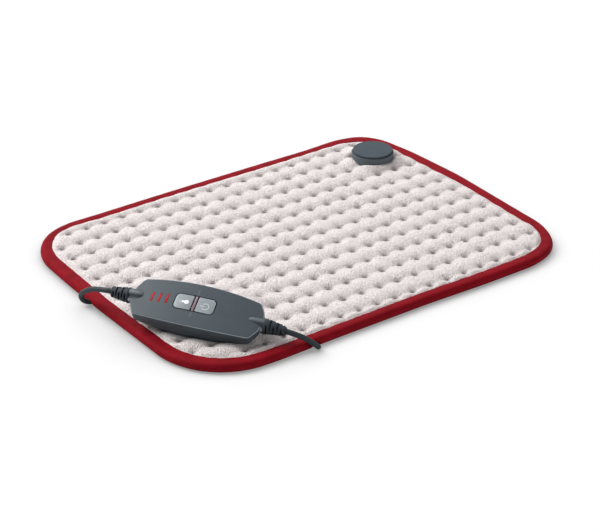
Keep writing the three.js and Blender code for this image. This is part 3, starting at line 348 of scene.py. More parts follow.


# near-black painted shade for grooves and slits, and below, pale painted highlights on edges and sides
paintedGapShade = ("groove", (9, 11, 13))
fleeceMat = fleeceFinish("fleece")
tapeMat = tapeFinish("redTape")
threadMat = moulded("redThread", (120, 10, 22), 0.75, grainScale=3000, grain=0.1, gloss=0.15)
slateMat = moulded("slateShell", (66, 75, 81), 0.52, vary=0.05, grain=0.04, gloss=0.24,
                   paintedLightAndShade=[("paintedLight", (186, 196, 201)), paintedGapShade])
capMat = moulded("slateCap", (65, 74, 81), 0.66, vary=0.05, grain=0.04, gloss=0.1,
                 paintedLightAndShade=[("paintedLight", (150, 160, 166)), paintedGapShade])
darkMat = moulded("darkShell", (68, 78, 85), 0.52, vary=0.05, gloss=0.3)
rubberMat = moulded("cordRubber", (33, 41, 46), 0.55, vary=0.1, grainScale=1800, gloss=0.25)
reliefMat = moulded("reliefRubber", (41, 49, 54), 0.6, grainScale=1800, gloss=0.2, paintedLightAndShade=[paintedGapShade])
buttonMat = moulded("heatButtonGrey", (134, 141, 146), 0.4, vary=0.05, grain=0.03)
powerMat = moulded("powerButtonGrey", (142, 150, 154), 0.4, vary=0.05, grain=0.03)
stripMat = moulded("stripLens", (126, 100, 108), 0.4, vary=0.12, grain=0.03)
iconMat = moulded("whiteInk", (246, 248, 250), 0.5, vary=0.02, grain=0.01)
dimIconMat = moulded("greyInk", (200, 207, 211), 0.5, vary=0.03, grain=0.01)
lineMat = moulded("paleFaceLine", (116, 124, 128), 0.5, vary=0.03, grain=0.01)
lensMat = moulded("redLens", (176, 10, 26), 0.4, grain=0.02, gloss=0.12)

slotFinishes = {
    "fleece": fleeceMat,
    "tape": threadMat,
    "slate_plastic": slateMat,
    "dark_plastic": darkMat,
    "cord_rubber": rubberMat,
    "button_plastic": buttonMat,
    "red_lens": lensMat,
    "strip_lens": stripMat,
    "carrier_cloth": moulded("carrierCloth", (217, 212, 208), 0.9, grainScale=900, grain=0.2),
    "heater_cover": moulded("heaterCover", (201, 138, 90), 0.55),
    "board": moulded("boardLacquer", (47, 107, 69), 0.4, vary=0.12),
    "black_part": moulded("blackPart", (34, 37, 40), 0.45),
    "blue_part": moulded("bluePart", (47, 95, 154), 0.4),
    "brass": moulded("brassPin", (190, 160, 92), 0.3, metallic=1, grain=0.02),
    "steel": moulded("steelPin", (188, 192, 195), 0.28, metallic=1, grain=0.02),
    "strap": moulded("tieStrap", (38, 42, 46), 0.75, grainScale=1500, grain=0.15),
    "clear_part": moulded("clearPart", (216, 220, 216), 0.12, vary=0.02, grain=0.01, clear=0.7),
}

for entry in frame["record"]["subparts"]:
    wear(nodes[entry["node"]], slotFinishes[entry["material_slot"]])
print("finishes made")


# where the controller lies; the pieces' sizes are in millimetres

controller = dict(
    fromLeft=46.1, fromFront=73.65, altitude=31.75, heading=-53.4, dip=3.1, roll=25.7,
    length=122, midWidth=43.5, bow=4.2, arch=6, endDepth=9.7, belly=7.4, wall=1.8, edge=1.3, faceInset=0.5,
    draft=0.3, endFlat=16, shoulder=6, corner=2.6, parting=-3.5, seam=0.35, front=1.14, right=1.02,
    bellyInset=5.5, boxiness=6, innerInset=1.8, innerShare=0.8,
    rimFrom=0.15, rimTo=0.3, rimHighlightStrength=0.62, rimRightward=0.3,
)
pad = dict(length=440, width=330, cornerRadius=67, bindingWidth=11.3)
halfLength = controller["length"] / 2
parting = controller["parting"]


def fromCorner(x, y, z):
    return Vector((x - pad["length"] / 2, y - pad["width"] / 2, z)) * mm


middle = fromCorner(controller["fromLeft"], controller["fromFront"], controller["altitude"])
controllerPlace = Matrix.Translation(middle)
for axis, angle in (("Z", "heading"), ("Y", "dip"), ("X", "roll")):
    controllerPlace = controllerPlace @ Matrix.Rotation(math.radians(controller[angle]), 4, axis)


def onController(piece):
    bakePlace(piece)
    piece.data.transform(controllerPlace)
    return piece


# cords, through the same points as the solids

cord = dict(
    diameter=5, floorHeight=3.05, reliefLength=20, gap=0.3, start=5,
    bend={-1: 0.2, 1: -1.6}, bendOnward={-1: -0.6, 1: 2}, bendRun=17,
    coilX=218, coilY=145, coilInner=44, strandPitch=5.7, leadTurns=1.5, tailTurns=2, straight=6,
    stepsPerTurn=24, padTipX=132.6, padTipY=97.2,
    plugEnd=14, plugAcross=27.5, plugRelief=16, plugMiddle=6.9,
)


def reliefBend(side, run):
    # how far a strain relief has bent up or down, at a distance from its root
    share = max(run / cord["bendRun"], 0)
    return cord["bend"][side] * (share ** 2 if share < 1 else 1 + cord["bendOnward"][side] * (share - 1))


def reliefEnd(side, beyond):
    reach = halfLength + 2 * cord["gap"] + cord["reliefLength"] + beyond
    lift = Vector((0, 0, reliefBend(side, cord["bendRun"] + beyond)))
    return controllerPlace @ (Vector((side * reach, 0, parting)) * mm) + lift * mm


def along(points):
    # points without a height lie on the floor
    return [fromCorner(x, y, *(height or [cord["floorHeight"]])) for x, y, *height in points]


padLeadTip = Vector((cord["padTipX"], cord["padTipY"], cord["floorHeight"])) * mm
padLeadRoute = [reliefEnd(-1, 0), reliefEnd(-1, cord["start"])] + along([
    (-7, 151.4, 32), (-10, 162, 28.5), (-11.8, 172, 22.5), (-12, 179.5, 16), (-10.9, 182.3, 11),
    (-7.9, 183.3, 6.3), (-2.5, 182.6, 3.4), (5, 182), (20, 182.5), (70, 190), (130, 205), (200, 229),
    (270, 250),
]) + [padLeadTip + Vector((-25, -1, 0)) * mm, padLeadTip + Vector((-8, 0, 0)) * mm, padLeadTip]

mainsLeadRoute = [reliefEnd(1, 0), reliefEnd(1, cord["start"])] + along([
    (103.5, 2, 19.2), (110.5, -2.3, 15), (116.2, -6, 10.5), (120.2, -7.9, 6.5), (122.7, -6.8, 4),
    (124, -2.5), (124.6, 5), (126, 15), (137, 27), (148.5, 49), (154.5, 78),
])
mainsTailTurn = along([
    (110.6, 38.5), (122.6, 38), (132.7, 44.4), (137.5, 54), (143.5, 76), (148.5, 100),
])


def coilPoint(angle, radius):
    x = cord["coilX"] + radius * math.cos(angle)
    return fromCorner(x, cord["coilY"] + radius * math.sin(angle), cord["floorHeight"])


def coilEnd(turns, below):
    radius = cord["coilInner"] + turns * 2 * cord["strandPitch"]
    below = below + cord["straight"]
    return fromCorner(cord["coilX"] - radius, cord["coilY"] - below, cord["floorHeight"])


def coilArm(startAngle, turns):
    steps = cord["stepsPerTurn"]
    shares = [i / steps for i in range(int(turns * steps) + 1)]
    growth = 2 * cord["strandPitch"]
    return [coilPoint(startAngle + t * 2 * math.pi, cord["coilInner"] + t * growth) for t in shares]


def coilFold():
    half = cord["coilInner"] / 2
    steps = cord["stepsPerTurn"] // 2
    points = []
    for side, sign in ((-1, 1), (1, -1)):
        for i in range(1, steps + 1):
            angle = math.pi * (1 - i / steps)
            x = cord["coilX"] + side * half + half * math.cos(angle)
            points.append(fromCorner(x, cord["coilY"] + sign * half * math.sin(angle), cord["floorHeight"]))
    return points[:-1]


def fromPlug(beyond, drop):
    start = cord["plugEnd"] + cord["plugRelief"] + 2 * cord["gap"] + beyond
    spot = Vector((start, cord["plugAcross"], 0))
    spot.rotate(Euler((0, 0, math.radians(controller["heading"]))))
    height = cord["plugMiddle"] - drop * (cord["plugMiddle"] - cord["floorHeight"])
    return fromCorner(spot.x + controller["fromLeft"], spot.y + controller["fromFront"], height)


mainsRoute = (
    mainsLeadRoute
    + [coilEnd(cord["leadTurns"], below) for below in (14.3, 5.3, 0)]
    + coilArm(0, cord["leadTurns"])[::-1]
    + coilFold()[::-1]
    + coilArm(math.pi, cord["tailTurns"])
    + [coilEnd(cord["tailTurns"], below) for below in (0, 5.3)]
    + [coilEnd(cord["tailTurns"], 18.3) + Vector((-1, 0, 0)) * mm]
    + mainsTailTurn[::-1]
    + [fromPlug(beyond, drop) for beyond, drop in ((25, 0.95), (18, 0.68), (11, 0.3), (5, 0.05), (0, 0))]
)


def routeLength(points):
    return sum((b - a).length for a, b in zip(points, points[1:]))


def layCord(name, points):
    bpy.ops.curve.primitive_bezier_curve_add()
    piece = named(name)
    piece.data.dimensions = "3D"
    piece.data.splines.clear()
    spline = piece.data.splines.new("BEZIER")
    spline.bezier_points.add(len(points) - 1)
    for knot, place in zip(spline.bezier_points, points):
        knot.co = place
        knot.handle_left_type = knot.handle_right_type = "AUTO"
    piece.data.resolution_u = 6
    piece.data.bevel_depth = cord["diameter"] / 2 * mm
    piece.data.bevel_resolution = 5
    piece.data.use_fill_caps = True
    return piece


padLead = layCord("padLeadCord", padLeadRoute)
settle(padLead, rubberMat, stands=["pad_lead"])
mainsCord = layCord("mainsCord", mainsRoute)
settle(mainsCord, rubberMat, stands=["mains_lead", "mains_coil", "mains_tail"])
print("cords laid, metres:", round(routeLength(padLeadRoute), 3), round(routeLength(mainsRoute), 3))


# controller shells, in the controller's own frame until onController places them

def bulge(x):
    return 1 - (x / halfLength) ** 2


def faceHeight(x):
    return controller["arch"] * bulge(x)


def bellyHeight(x):
    return -controller["endDepth"] - controller["belly"] * bulge(x)


def sideAt(x):
    return controller["midWidth"] / 2 - controller["bow"] * (1 - bulge(x))


def roundCorner(before, corner, after, steps=7):
    first = corner + (before - corner).normalized() * controller["corner"]
    last = corner + (after - corner).normalized() * controller["corner"]
    turn = []
    for i in range(steps):
        t = i / (steps - 1)
        turn.append(first * (1 - t) ** 2 + corner * 2 * t * (1 - t) + last * t ** 2)
    return turn


def quarterOutline(inset, sideSteps=22):
    shoulderX = halfLength - controller["shoulder"]
    tip = Vector((halfLength, controller["endFlat"] / 2))
    bend = Vector((shoulderX, sideAt(shoulderX)))
    endNormal = Vector((1, 0))
    slantNormal = Vector((bend.y - tip.y, tip.x - bend.x)).normalized()
    sideNormal = Vector((2 * controller["bow"] * shoulderX / halfLength ** 2, 1)).normalized()

    def miter(n, m):
        return (n + m) / (1 + n.dot(m)) * inset

    tip = tip - miter(endNormal, slantNormal)
    bend = bend - miter(slantNormal, sideNormal)
    side = []
    for i in range(sideSteps):
        x = (bend.x - controller["corner"]) * i / sideSteps
        side.append(Vector((x, sideAt(x) - inset)))
    return side + roundCorner(side[-1], bend, tip) + roundCorner(bend, tip, Vector((tip.x, 0)))


def controllerRing(inset, heightAt):
    # the front side is drawn out a little, and the right end too
    quarter = quarterOutline(inset)
    right, front = controller["right"], controller["front"]
    side = [Vector((-p.x, p.y)) for p in quarter[:0:-1]] + [Vector((p.x * right, p.y)) for p in quarter]
    lower = [(p.x * mm, -p.y * front * mm, heightAt(p.x) * mm) for p in side]
    upper = [(p.x * mm, p.y * mm, heightAt(p.x) * mm) for p in reversed(side)]
    return lower + upper


def skinRings(name, rings):
    count = len(rings[0])
    faces = []
    for r in range(len(rings) - 1):
        for i in range(count):
            a, b = r * count + i, r * count + (i + 1) % count
            faces.append((a + count, b + count, b, a))
    last = (len(rings) - 1) * count
    for i in range(count // 2 - 1):
        a, b, c, d = i, i + 1, count - 2 - i, count - 1 - i
        faces.append((a, b, c, d))
        faces.append((last + d, last + c, last + b, last + a))
    return fromPoints(name, [p for ring in rings for p in ring], [], faces)


def flat(height):
    return lambda x: height


def belowFace(drop):
    return lambda x: faceHeight(x) - drop


partingLow = parting - controller["seam"]


def towardBelly(share):
    return lambda x: partingLow + (bellyHeight(x) - partingLow) * share


# by side: -1 is the left end, 1 the right; lines are painted highlight and painted shade bands, as (strength,
# degrees from the channel, width)
gland = dict(
    root=7, lip=0.6, waist=5.9, nose=6.5, noseSteps=9, inner={-1: 48.6, 1: 46.2}, outer=64.1, drop=3.4,
    tilt=6.5, neck=4.5, neckDeep=7.3, channel={-1: 0.16, 1: 0.15}, channelTurn={-1: 58, 1: 122},
    channelWidth=20, aside={-1: (0, 0, 0), 1: (0, -1, -1.5)},
    lines=dict(paintedLight=[(0.15, -40, 16), (0.6, 36, 14)], groove=[(0.6, -80, 16), (0.5, 0, 18)]),
)
buttons = dict(
    sizeX=16.5, size=15.6, shift=-0.9, spacing=4.6, corner=4, innerCorner=0.9, proud=0.3, gap=0.95, skirt=3,
    edge=0.4,
)
lights = dict(
    length=9.5, width=2, pitch=7.1, fromEnd=19.3, gap=0.18, deep=3, corner=0.35, proud=0.05, edge=0.2,
)
window = dict(deep=20, middle=6, lightCorner=0.4)
buttonMiddle = (buttons["sizeX"] + buttons["spacing"]) / 2
lightPlaces = [lights["fromEnd"] - halfLength + i * lights["pitch"] for i in range(3)]
hair = 0.01  # millimetres that count as none


def spun(name, profile, steps):
    # profile of (radius, along) pairs, turned about X
    points = [(a * mm, r * mm, 0) for r, a in profile]
    piece = fromPoints(name, points, [(i, i + 1) for i in range(len(points) - 1)], [])
    intoEdit(piece, "SELECT")
    bpy.ops.mesh.spin(steps=steps, angle=2 * math.pi, center=(0, 0, 0), axis=(1, 0, 0))
    bpy.ops.mesh.select_all(action="SELECT")
    bpy.ops.mesh.remove_doubles(threshold=hair * mm)
    outEdit()
    faceOutward(piece)
    return piece


def roundedSlab(name, lengthX, lengthY, lengthZ, place, cornerTest, radius, segments=6):
    bpy.ops.mesh.primitive_cube_add(size=1, location=[p * mm for p in place])
    piece = named(name)
    piece.scale = (lengthX * mm, lengthY * mm, lengthZ * mm)
    bakePlace(piece)

    def uprightCorner(a, b):
        return abs(a.z - b.z) > 0.5 * lengthZ * mm and cornerTest(a.x / mm - place[0])

    bevelEdges(piece, uprightCorner, radius, segments)
    return piece


def neckBore(side):
    deep = 2 * gland["neckDeep"]
    bpy.ops.mesh.primitive_cylinder_add(vertices=48, radius=gland["neck"] * mm, depth=deep * mm)
    bore = named("neckBore")
    putAt(bore, Vector((side * halfLength, 0, parting)) + Vector(gland["aside"][side]), tilt=math.pi / 2)
    return bore


def glandBoss(side):
    # a round-nosed boss lying along the face, its root just past the end of the shell
    inner, outer, nose = gland["inner"][side], gland["outer"], gland["nose"]
    root, lip, steps = gland["root"], gland["lip"], gland["noseSteps"]
    profile = [(0, inner)]
    for i in range(1, steps + 1):
        angle = math.pi / 2 * i / steps
        profile.append((gland["waist"] * math.sin(angle), inner + nose * (1 - math.cos(angle))))
    profile += [(root, outer - lip), (root - lip / 3, outer - lip / 4), (root - lip, outer), (0, outer)]
    boss = spun("glandBoss", [(r, a - outer) for r, a in profile], steps=72)

    def near(y, z, degrees, width):
        # 1 where the boss is turned this far to the front of its channel
        turn = (math.degrees(math.atan2(z, y)) - gland["channelTurn"][side] + 180) % 360 - 180
        return bell(turn * side - degrees, width)

    # painted highlight bands, and painted shade in the channel and where the boss meets the face
    for name, lines in gland["lines"].items():
        markPoints(boss, name, lambda x, y, z: sum(s * near(y, z, turn, width) for s, turn, width in lines))
    for point in boss.data.vertices:
        squeeze = 1 - gland["channel"][side] * near(point.co.y, point.co.z, 0, gland["channelWidth"])
        point.co.y *= squeeze
        point.co.z *= squeeze
    putAt(boss, (outer, 0, -gland["drop"]), tilt=math.radians(gland["tilt"]))
    putAt(boss, gland["aside"][side], turn=math.pi if side < 0 else 0)
    cutBy(boss, neckBore(side))
    smoothBy(boss, 35)
    return boss


def cutWindow(shell, lengthX, lengthY, gap, x, radius):
    place = (x, 0, window["middle"])
    cutter = roundedSlab("faceWindow", lengthX + 2 * gap, lengthY + 2 * gap, window["deep"], place,
                         lambda dx: True, radius)
    cutBy(shell, cutter)


def faceEdgeHighlight(x, y, z):
    # a painted highlight along the rounded edge of the face, stronger to the right
    drop = (faceHeight(x) - z) / controller["edge"]
    onLine = controller["rimFrom"] < drop < controller["rimTo"]
    return controller["rimHighlightStrength"] + controller["rimRightward"] * x / halfLength if onLine else 0


def topShell():
    edge, wall, draft = controller["edge"], controller["wall"], controller["draft"]
    rings = [controllerRing(edge + controller["faceInset"], faceHeight)]
    for degrees in (90, 72, 54, 36, 18, 0):
        angle = math.radians(degrees)
        rings.append(controllerRing(edge * (1 - math.cos(angle)), belowFace(edge * (1 - math.sin(angle)))))
    rings.append(controllerRing(draft, flat(parting)))
    rings.append(controllerRing(draft + wall, flat(parting)))
    rings.append(controllerRing(edge + wall, belowFace(wall)))
    shell = skinRings("controllerTop", rings)
    # painted highlight along the rounded edge of the face
    markPoints(shell, "paintedLight", faceEdgeHighlight)
    for side in (-1, 1):
        cutBy(shell, neckBore(side))
    gap = buttons["gap"]
    both = 2 * buttonMiddle + buttons["sizeX"]
    cutWindow(shell, both, buttons["size"], gap, buttons["shift"], buttons["corner"] + gap)
    for x in lightPlaces:
        cutWindow(shell, lights["width"], lights["length"], lights["gap"], x, window["lightCorner"])
    smoothBy(shell, 32)
    bosses = [glandBoss(side) for side in (-1, 1)]
    only(shell)
    for boss in bosses:
        boss.select_set(True)
    bpy.ops.object.join()
    onController(shell)
    settle(shell, slateMat, stands=["controller_top_shell"])


def bottomShell():
    draft, wall, inset = controller["draft"], controller["wall"], controller["bellyInset"]
    innerWall = towardBelly(controller["innerShare"])
    rings = [
        controllerRing(inset + wall / 2, lambda x: bellyHeight(x) + wall),
        controllerRing(controller["innerInset"] + wall, lambda x: innerWall(x) + wall / 2),
        controllerRing(draft + wall, flat(partingLow)),
        controllerRing(draft, flat(partingLow)),
    ]
    for degrees in range(9, 91, 9):
        share = math.sin(math.radians(degrees))
        drawnIn = (inset - draft) * share ** controller["boxiness"]
        rings.append(controllerRing(draft + drawnIn, towardBelly(share)))
    shell = skinRings("controllerBottom", rings)
    for side in (-1, 1):
        cutBy(shell, neckBore(side))
    smoothBy(shell, 40)
    onController(shell)
    settle(shell, darkMat, stands=["controller_bottom_shell"])
    return shell


# buttons, lights and printed marks on the arched face

def archOver(piece, proud):
    # lifts a flat-topped piece, modelled at height zero, onto the arched face
    for point in piece.data.vertices:
        point.co.z += (faceHeight(point.co.x / mm) + proud) * mm


def onTop(a, b):
    return min(a.z, b.z) > -hair * mm


def pressButton(side, name, stands, body, material):
    skirt = buttons["skirt"]
    place = (buttons["shift"] + side * buttonMiddle, 0, -skirt / 2)
    key = roundedSlab(name, buttons["sizeX"], buttons["size"], skirt, place, lambda dx: dx * side > 0,
                      buttons["corner"])
    inner = buttons["shift"] + side * buttons["spacing"] / 2

    def innerCorner(a, b):
        return abs(a.z - b.z) > 0.5 * skirt * mm and abs(a.x - inner * mm) < hair * mm

    bevelEdges(key, innerCorner, buttons["innerCorner"], segments=4)
    bevelEdges(key, onTop, buttons["edge"], segments=3)
    archOver(key, buttons["proud"])
    smoothBy(key, 35)
    onController(key)
    settle(key, material, body=body, stands=stands)


def faceBar(name, lengthX, lengthY, deep, x, radius, proud):
    bar = roundedSlab(name, lengthX, lengthY, deep, (x, 0, -deep / 2), lambda dx: True, radius, segments=3)
    bevelEdges(bar, onTop, lights["edge"], segments=2)
    archOver(bar, proud)
    smoothBy(bar, 35)
    return onController(bar)


marks = dict(
    thick=0.06, ringRadius=3.2, ringWidth=0.75, gapAngle=38, barFrom=-5.2, barTo=-1.2, ringLow=1,
    bulb=2.15, bulbShift=2.8, stemWidth=2, stemLength=3.7, chevron=2.1, chevronSlope=0.75, chevronWidth=0.4,
    chevronAway=3, lineClear=0.6, lineBack=7, lineFront=6, lineWidth=0.3, lineProud=0.005,
)


def inkPlate(name, outline, x, proud, material, body="pad"):
    # thin printed mark: points in millimetres on the face, and the faces between them
    points, faces = outline
    piece = fromPoints(name, [((u + x) * mm, v * mm, 0) for u, v in points], [], faces)
    applyModifier(piece, "SOLIDIFY", thickness=marks["thick"] * mm, offset=1)
    archOver(piece, proud)
    faceOutward(piece)
    onController(piece)
    settle(piece, material, body=body)


def band(line, width):
    # quads along a line of points
    points, faces = [], []
    for i, here in enumerate(line):
        before = Vector(line[max(i - 1, 0)])
        after = Vector(line[min(i + 1, len(line) - 1)])
        across = (after - before).orthogonal().normalized() * width / 2
        points += [tuple(Vector(here) + across), tuple(Vector(here) - across)]
        if i:
            faces.append((2 * i - 2, 2 * i, 2 * i + 1, 2 * i - 1))
    return points, faces


def arcPoints(radius, fromAngle, toAngle, steps):
    angles = [fromAngle + (toAngle - fromAngle) * i / steps for i in range(steps + 1)]
    return [(radius * math.cos(a), radius * math.sin(a)) for a in angles]


def powerMark():
    gap = math.radians(marks["gapAngle"])
    low, width = marks["ringLow"], marks["ringWidth"]
    place, top = buttons["shift"] + buttonMiddle, buttons["proud"]
    arc = arcPoints(marks["ringRadius"], math.pi + gap, 3 * math.pi - gap, steps=32)
    ring = [(u, v - low) for u, v in arc]
    inkPlate("powerRing", band(ring, width), place, top, dimIconMat, body="power_key")
    bar = [(marks["barFrom"], -low), (marks["barTo"], -low)]
    inkPlate("powerBar", band(bar, width), place, top, dimIconMat, body="power_key")


def heatMark():
    half, stem = marks["stemWidth"] / 2, marks["stemLength"]
    lean = math.asin(half / marks["bulb"])
    place, top = buttons["shift"] + marks["bulbShift"] - buttonMiddle, buttons["proud"]
    bulb = arcPoints(marks["bulb"], math.pi - lean, lean - math.pi, steps=24)
    end = [(u - stem, v) for u, v in arcPoints(half, -math.pi / 2, -3 * math.pi / 2, steps=8)]
    outline = bulb + end
    inkPlate("heatMark", (outline, [tuple(range(len(outline)))]), place, top, iconMat, body="heat_key")
    tip, wing = -stem - marks["chevronAway"], marks["chevron"]
    rise = wing * marks["chevronSlope"]
    arrow = [(tip + wing, rise), (tip, 0), (tip + wing, -rise)]
    inkPlate("heatArrow", band(arrow, marks["chevronWidth"]), place, top, dimIconMat, body="heat_key")


def faceLines():
    # a thin pale line on the face, beyond the button window at back and front
    edge = buttons["size"] / 2 + buttons["gap"]
    for name, way, end in (("faceLineBack", 1, "lineBack"), ("faceLineFront", -1, "lineFront")):
        ends = sorted([way * (edge + marks["lineClear"]), way * (edge + marks[end])])
        line = band([(0, v) for v in ends], marks["lineWidth"])
        inkPlate(name, line, buttons["shift"], marks["lineProud"], lineMat)


# by side again; roundings are (inward, along) pairs
relief = dict(
    start=64.4, lengths={-1: 17.6, 1: 19.6}, root=7.4, tips={-1: 5, 1: 4.5}, neck=4.2, neckDeep=7,
    rootRound=[(0.7, 0), (0.15, 0.3), (0, 0.9)], tipRound=[(0, 0.4), (0.5, 0.1), (1, 0)],
    slits=5, slit=1.35, depth=2.1, shallower=0.08, ease=0.25, lip=0.2, slope=0.1, collar=2.3, endMargin=0.6,
    span=64, spanFade=8, slitReach=0.05, straighten=0.55,
)


def strainRelief(side, name, stands):
    start, length, tip = relief["start"], relief["lengths"][side], relief["tips"][side]
    pitch = (length - relief["collar"] - relief["endMargin"]) / relief["slits"]
    slits = []
    for i in range(relief["slits"]):
        low = relief["collar"] + i * pitch
        slits.append((low, low + relief["slit"]))

    def radiusAt(a):
        return relief["root"] + (tip - relief["root"]) * a / length

    neckEnd = halfLength - relief["neckDeep"]
    profile = [(0, neckEnd), (relief["neck"], neckEnd), (relief["neck"], start)]
    profile += [(relief["root"] - inward, start + run) for inward, run in relief["rootRound"]]
    ease, lip, slope = relief["ease"], relief["lip"], relief["slope"]
    for i, (low, high) in enumerate(slits):
        deep = relief["depth"] * (1 - relief["shallower"] * i)
        down = [(low - ease, 0), (low, lip), (low + slope, deep)]
        up = [(high - slope, deep), (high, lip), (high + ease, 0)]
        profile += [(radiusAt(a) - cut, start + a) for a, cut in down + up]
    profile += [(tip - inward, start + length - run) for inward, run in relief["tipRound"]]
    profile.append((0, start + length))
    boot = spun(name, profile, steps=80)
    closeSlits(boot, slits, radiusAt)
    putAt(boot, (0, 0, parting), turn=math.pi if side < 0 else 0)
    smoothBy(boot, 38)
    upward = controllerPlace.to_3x3().transposed() @ Vector((0, 0, 1))
    for point in boot.data.vertices:
        run = abs(point.co.x) / mm - start
        kept = 1 - relief["straighten"] * min(max(run / cord["bendRun"], 0), 1)
        point.co += upward * (reliefBend(side, run) * mm) + Vector(gland["aside"][side]) * (kept * mm)
    onController(boot)
    settle(boot, reliefMat, stands=stands)


def closeSlits(boot, slits, radiusAt):
    # each ring cut is filled again but for two openings, a quarter turn on from slit to slit
    # the groove value paints shade into the slits, darker as the cut goes deeper
    paintedShade = boot.data.attributes.new("groove", "FLOAT", "POINT")
    reach = relief["slitReach"]
    for point, shadow in zip(boot.data.vertices, paintedShade.data):
        x, y, z = point.co / mm
        a = x - relief["start"]
        radius = math.hypot(y, z)
        for i, (low, high) in enumerate(slits):
            if low - reach < a < high + reach and radius > hair:
                turn = math.degrees(math.atan2(z, y)) + (90 if i % 2 else 0)
                off = abs((turn + 90) % 180 - 90)
                opened = min(max((relief["span"] - off) / relief["spanFade"], 0), 1)
                grown = radiusAt(a) + (radius - radiusAt(a)) * opened
                shadow.value = min(radiusAt(a) - grown, 1)
                point.co.y *= grown / radius
                point.co.z *= grown / radius


divider = dict(width=2.1, longer=0.6, deep=3, corner=0.4, proud=0)

topShell()
bottomPiece = bottomShell()
pressButton(-1, "heatButton", ["heat_button"], "heat_key", buttonMat)
pressButton(1, "powerButton", ["power_button"], "power_key", powerMat)
powerMark()
heatMark()
faceLines()
for i, x in enumerate(lightPlaces):
    bar = faceBar(f"levelLight{i + 1}", lights["width"], lights["length"], lights["deep"], x,
                  lights["corner"], lights["proud"])
    settle(bar, lensMat, stands=[f"level_light_{i + 1}"])
strip = faceBar("dividerLight", divider["width"], buttons["size"] + divider["longer"], divider["deep"],
                buttons["shift"], divider["corner"], divider["proud"])
settle(strip, stripMat, stands=["divider_light"])
strainRelief(-1, "leftRelief", ["left_strain_relief"])
strainRelief(1, "rightRelief", ["right_strain_relief"])
print("controller built")


# coupling cap on the far corner; its lip is (inward, up) pairs

cap = dict(
    x=166.9, y=97.5, seat=12.15, top=23.3, radius=21.9, topRadius=20.9, round=0.9, wall=1.4, skirt=3,
    lid=1.4, lidEdge=0.2, groove=0.4, grooveDeep=1.6, lip=[(0.4, 0), (0, 0.5)],
    crown=0.15, crownEdge=(4, 0.08), wallPaintedLight=0.22, groovePaintedShade=0.5, tintReach=0.1, seatInset=0.9, clear=0.3,
    collar=3.3, collarLow=0.55, collarPlump=0.6, collarAway=3, collarWidth=6,
)


def couplingCap():
    seat, top, wide, lidWide, bend = cap["seat"], cap["top"], cap["radius"], cap["topRadius"], cap["round"]
    inside, under, reach = top - cap["wall"], top - cap["lid"], cap["tintReach"]
    ledge, neck = under - cap["groove"], wide - cap["grooveDeep"]
    profile = [(0, inside), (lidWide - cap["skirt"], inside), (wide - cap["skirt"], seat)]
    profile += [(wide - inward, seat + up) for inward, up in cap["lip"]]
    profile += [(wide - inward, ledge - up) for inward, up in reversed(cap["lip"])]
    profile += [(neck, ledge), (neck, under), (lidWide - cap["lidEdge"], under)]
    for degrees in range(0, 91, 15):
        angle = math.radians(degrees)
        profile.append((lidWide - bend * (1 - math.cos(angle)), top - bend * (1 - math.sin(angle))))
    inward, up = cap["crownEdge"]
    profile += [(lidWide - inward, top + up), (0, top + cap["crown"])]
    piece = spun("couplingCap", profile, steps=72)

    # painted light on the side wall, and painted shade in the groove under the lid
    def wallPaintedLight(x, y, z):
        return cap["wallPaintedLight"] * (seat < x < ledge and math.hypot(y, z) > wide - reach)

    def groovePaintedShade(x, y, z):
        return cap["groovePaintedShade"] * (ledge - reach < x < under + reach and math.hypot(y, z) < neck + reach)

    markPoints(piece, "paintedLight", wallPaintedLight)
    markPoints(piece, "groove", groovePaintedShade)
    putAt(piece, (cap["x"], cap["y"], 0), tilt=-math.pi / 2)
    smoothBy(piece, 35)
    settle(piece, capMat, stands=["coupling_cap"])


couplingCap()
print("coupling cap built")


# the bound edge: a rounded rectangle that lies a little uneven

def edgePlace(distance):
    # point and outward direction at a distance round the rounded rectangle
    r = pad["cornerRadius"]
    sides = [pad["width"] - 2 * r, pad["length"] - 2 * r]
    for quarter in range(4):
        side, other = sides[quarter % 2], sides[quarter % 2 - 1]
        run = side + r * math.pi / 2
        if distance <= run:
            break
        distance -= run
    turn = max(distance - side, 0) / r
    out = Vector((math.cos(turn), math.sin(turn), 0))
    place = Vector((other / 2, min(distance, side) - side / 2, 0)) + out * r
    onward = Matrix.Rotation(math.pi / 2 * quarter, 3, "Z")
    return onward @ place, onward @ out


perimeter = 2 * (pad["length"] + pad["width"]) - 8 * pad["cornerRadius"] + 2 * math.pi * pad["cornerRadius"]

# where the edge's slack turns in or out, anticlockwise from the front of the right side:
# millimetres round the edge, how far out it lies there, how much wider the tape shows
unevenEdge = [
    (0, 0, 3), (40, 1, 2), (95, 2.5, 1.5), (120, 3, 3), (180, -1, 4), (212, -4.5, 4), (245, 3.5, 2.5),
    (260, 5.5, 3), (290, 0.5, 2.5), (330, -2, 1.5), (380, -1.5, 3), (475, -2, 2.5), (520, -2.5, 2.5),
    (590, -4, 4), (620, -3.5, 2.5), (650, -0.5, -1), (690, 0.5, 1), (750, 2.5, 1.5), (810, 3, 0.5),
    (930, 0.5, 2), (980, 2, 2), (1030, 4, 1), (1090, 2, -0.5), (1200, 0.5, 0), (1270, 2, 0.5), (1335, 1, 1),
    (1365, 3.5, 1), (1400, 0.5, 0),
]
unevenSoften = 8


def unevenAt(distance, column):
    places = [row[0] for row in unevenEdge]
    values = [row[column] for row in unevenEdge]
    shifts = (-unevenSoften, 0, unevenSoften)
    return sum(np.interp(distance + shift, places, values, period=perimeter) for shift in shifts) / 3


def outAt(distance):
    return unevenAt(distance, 1)


def widerAt(distance):
    return unevenAt(distance, 2)


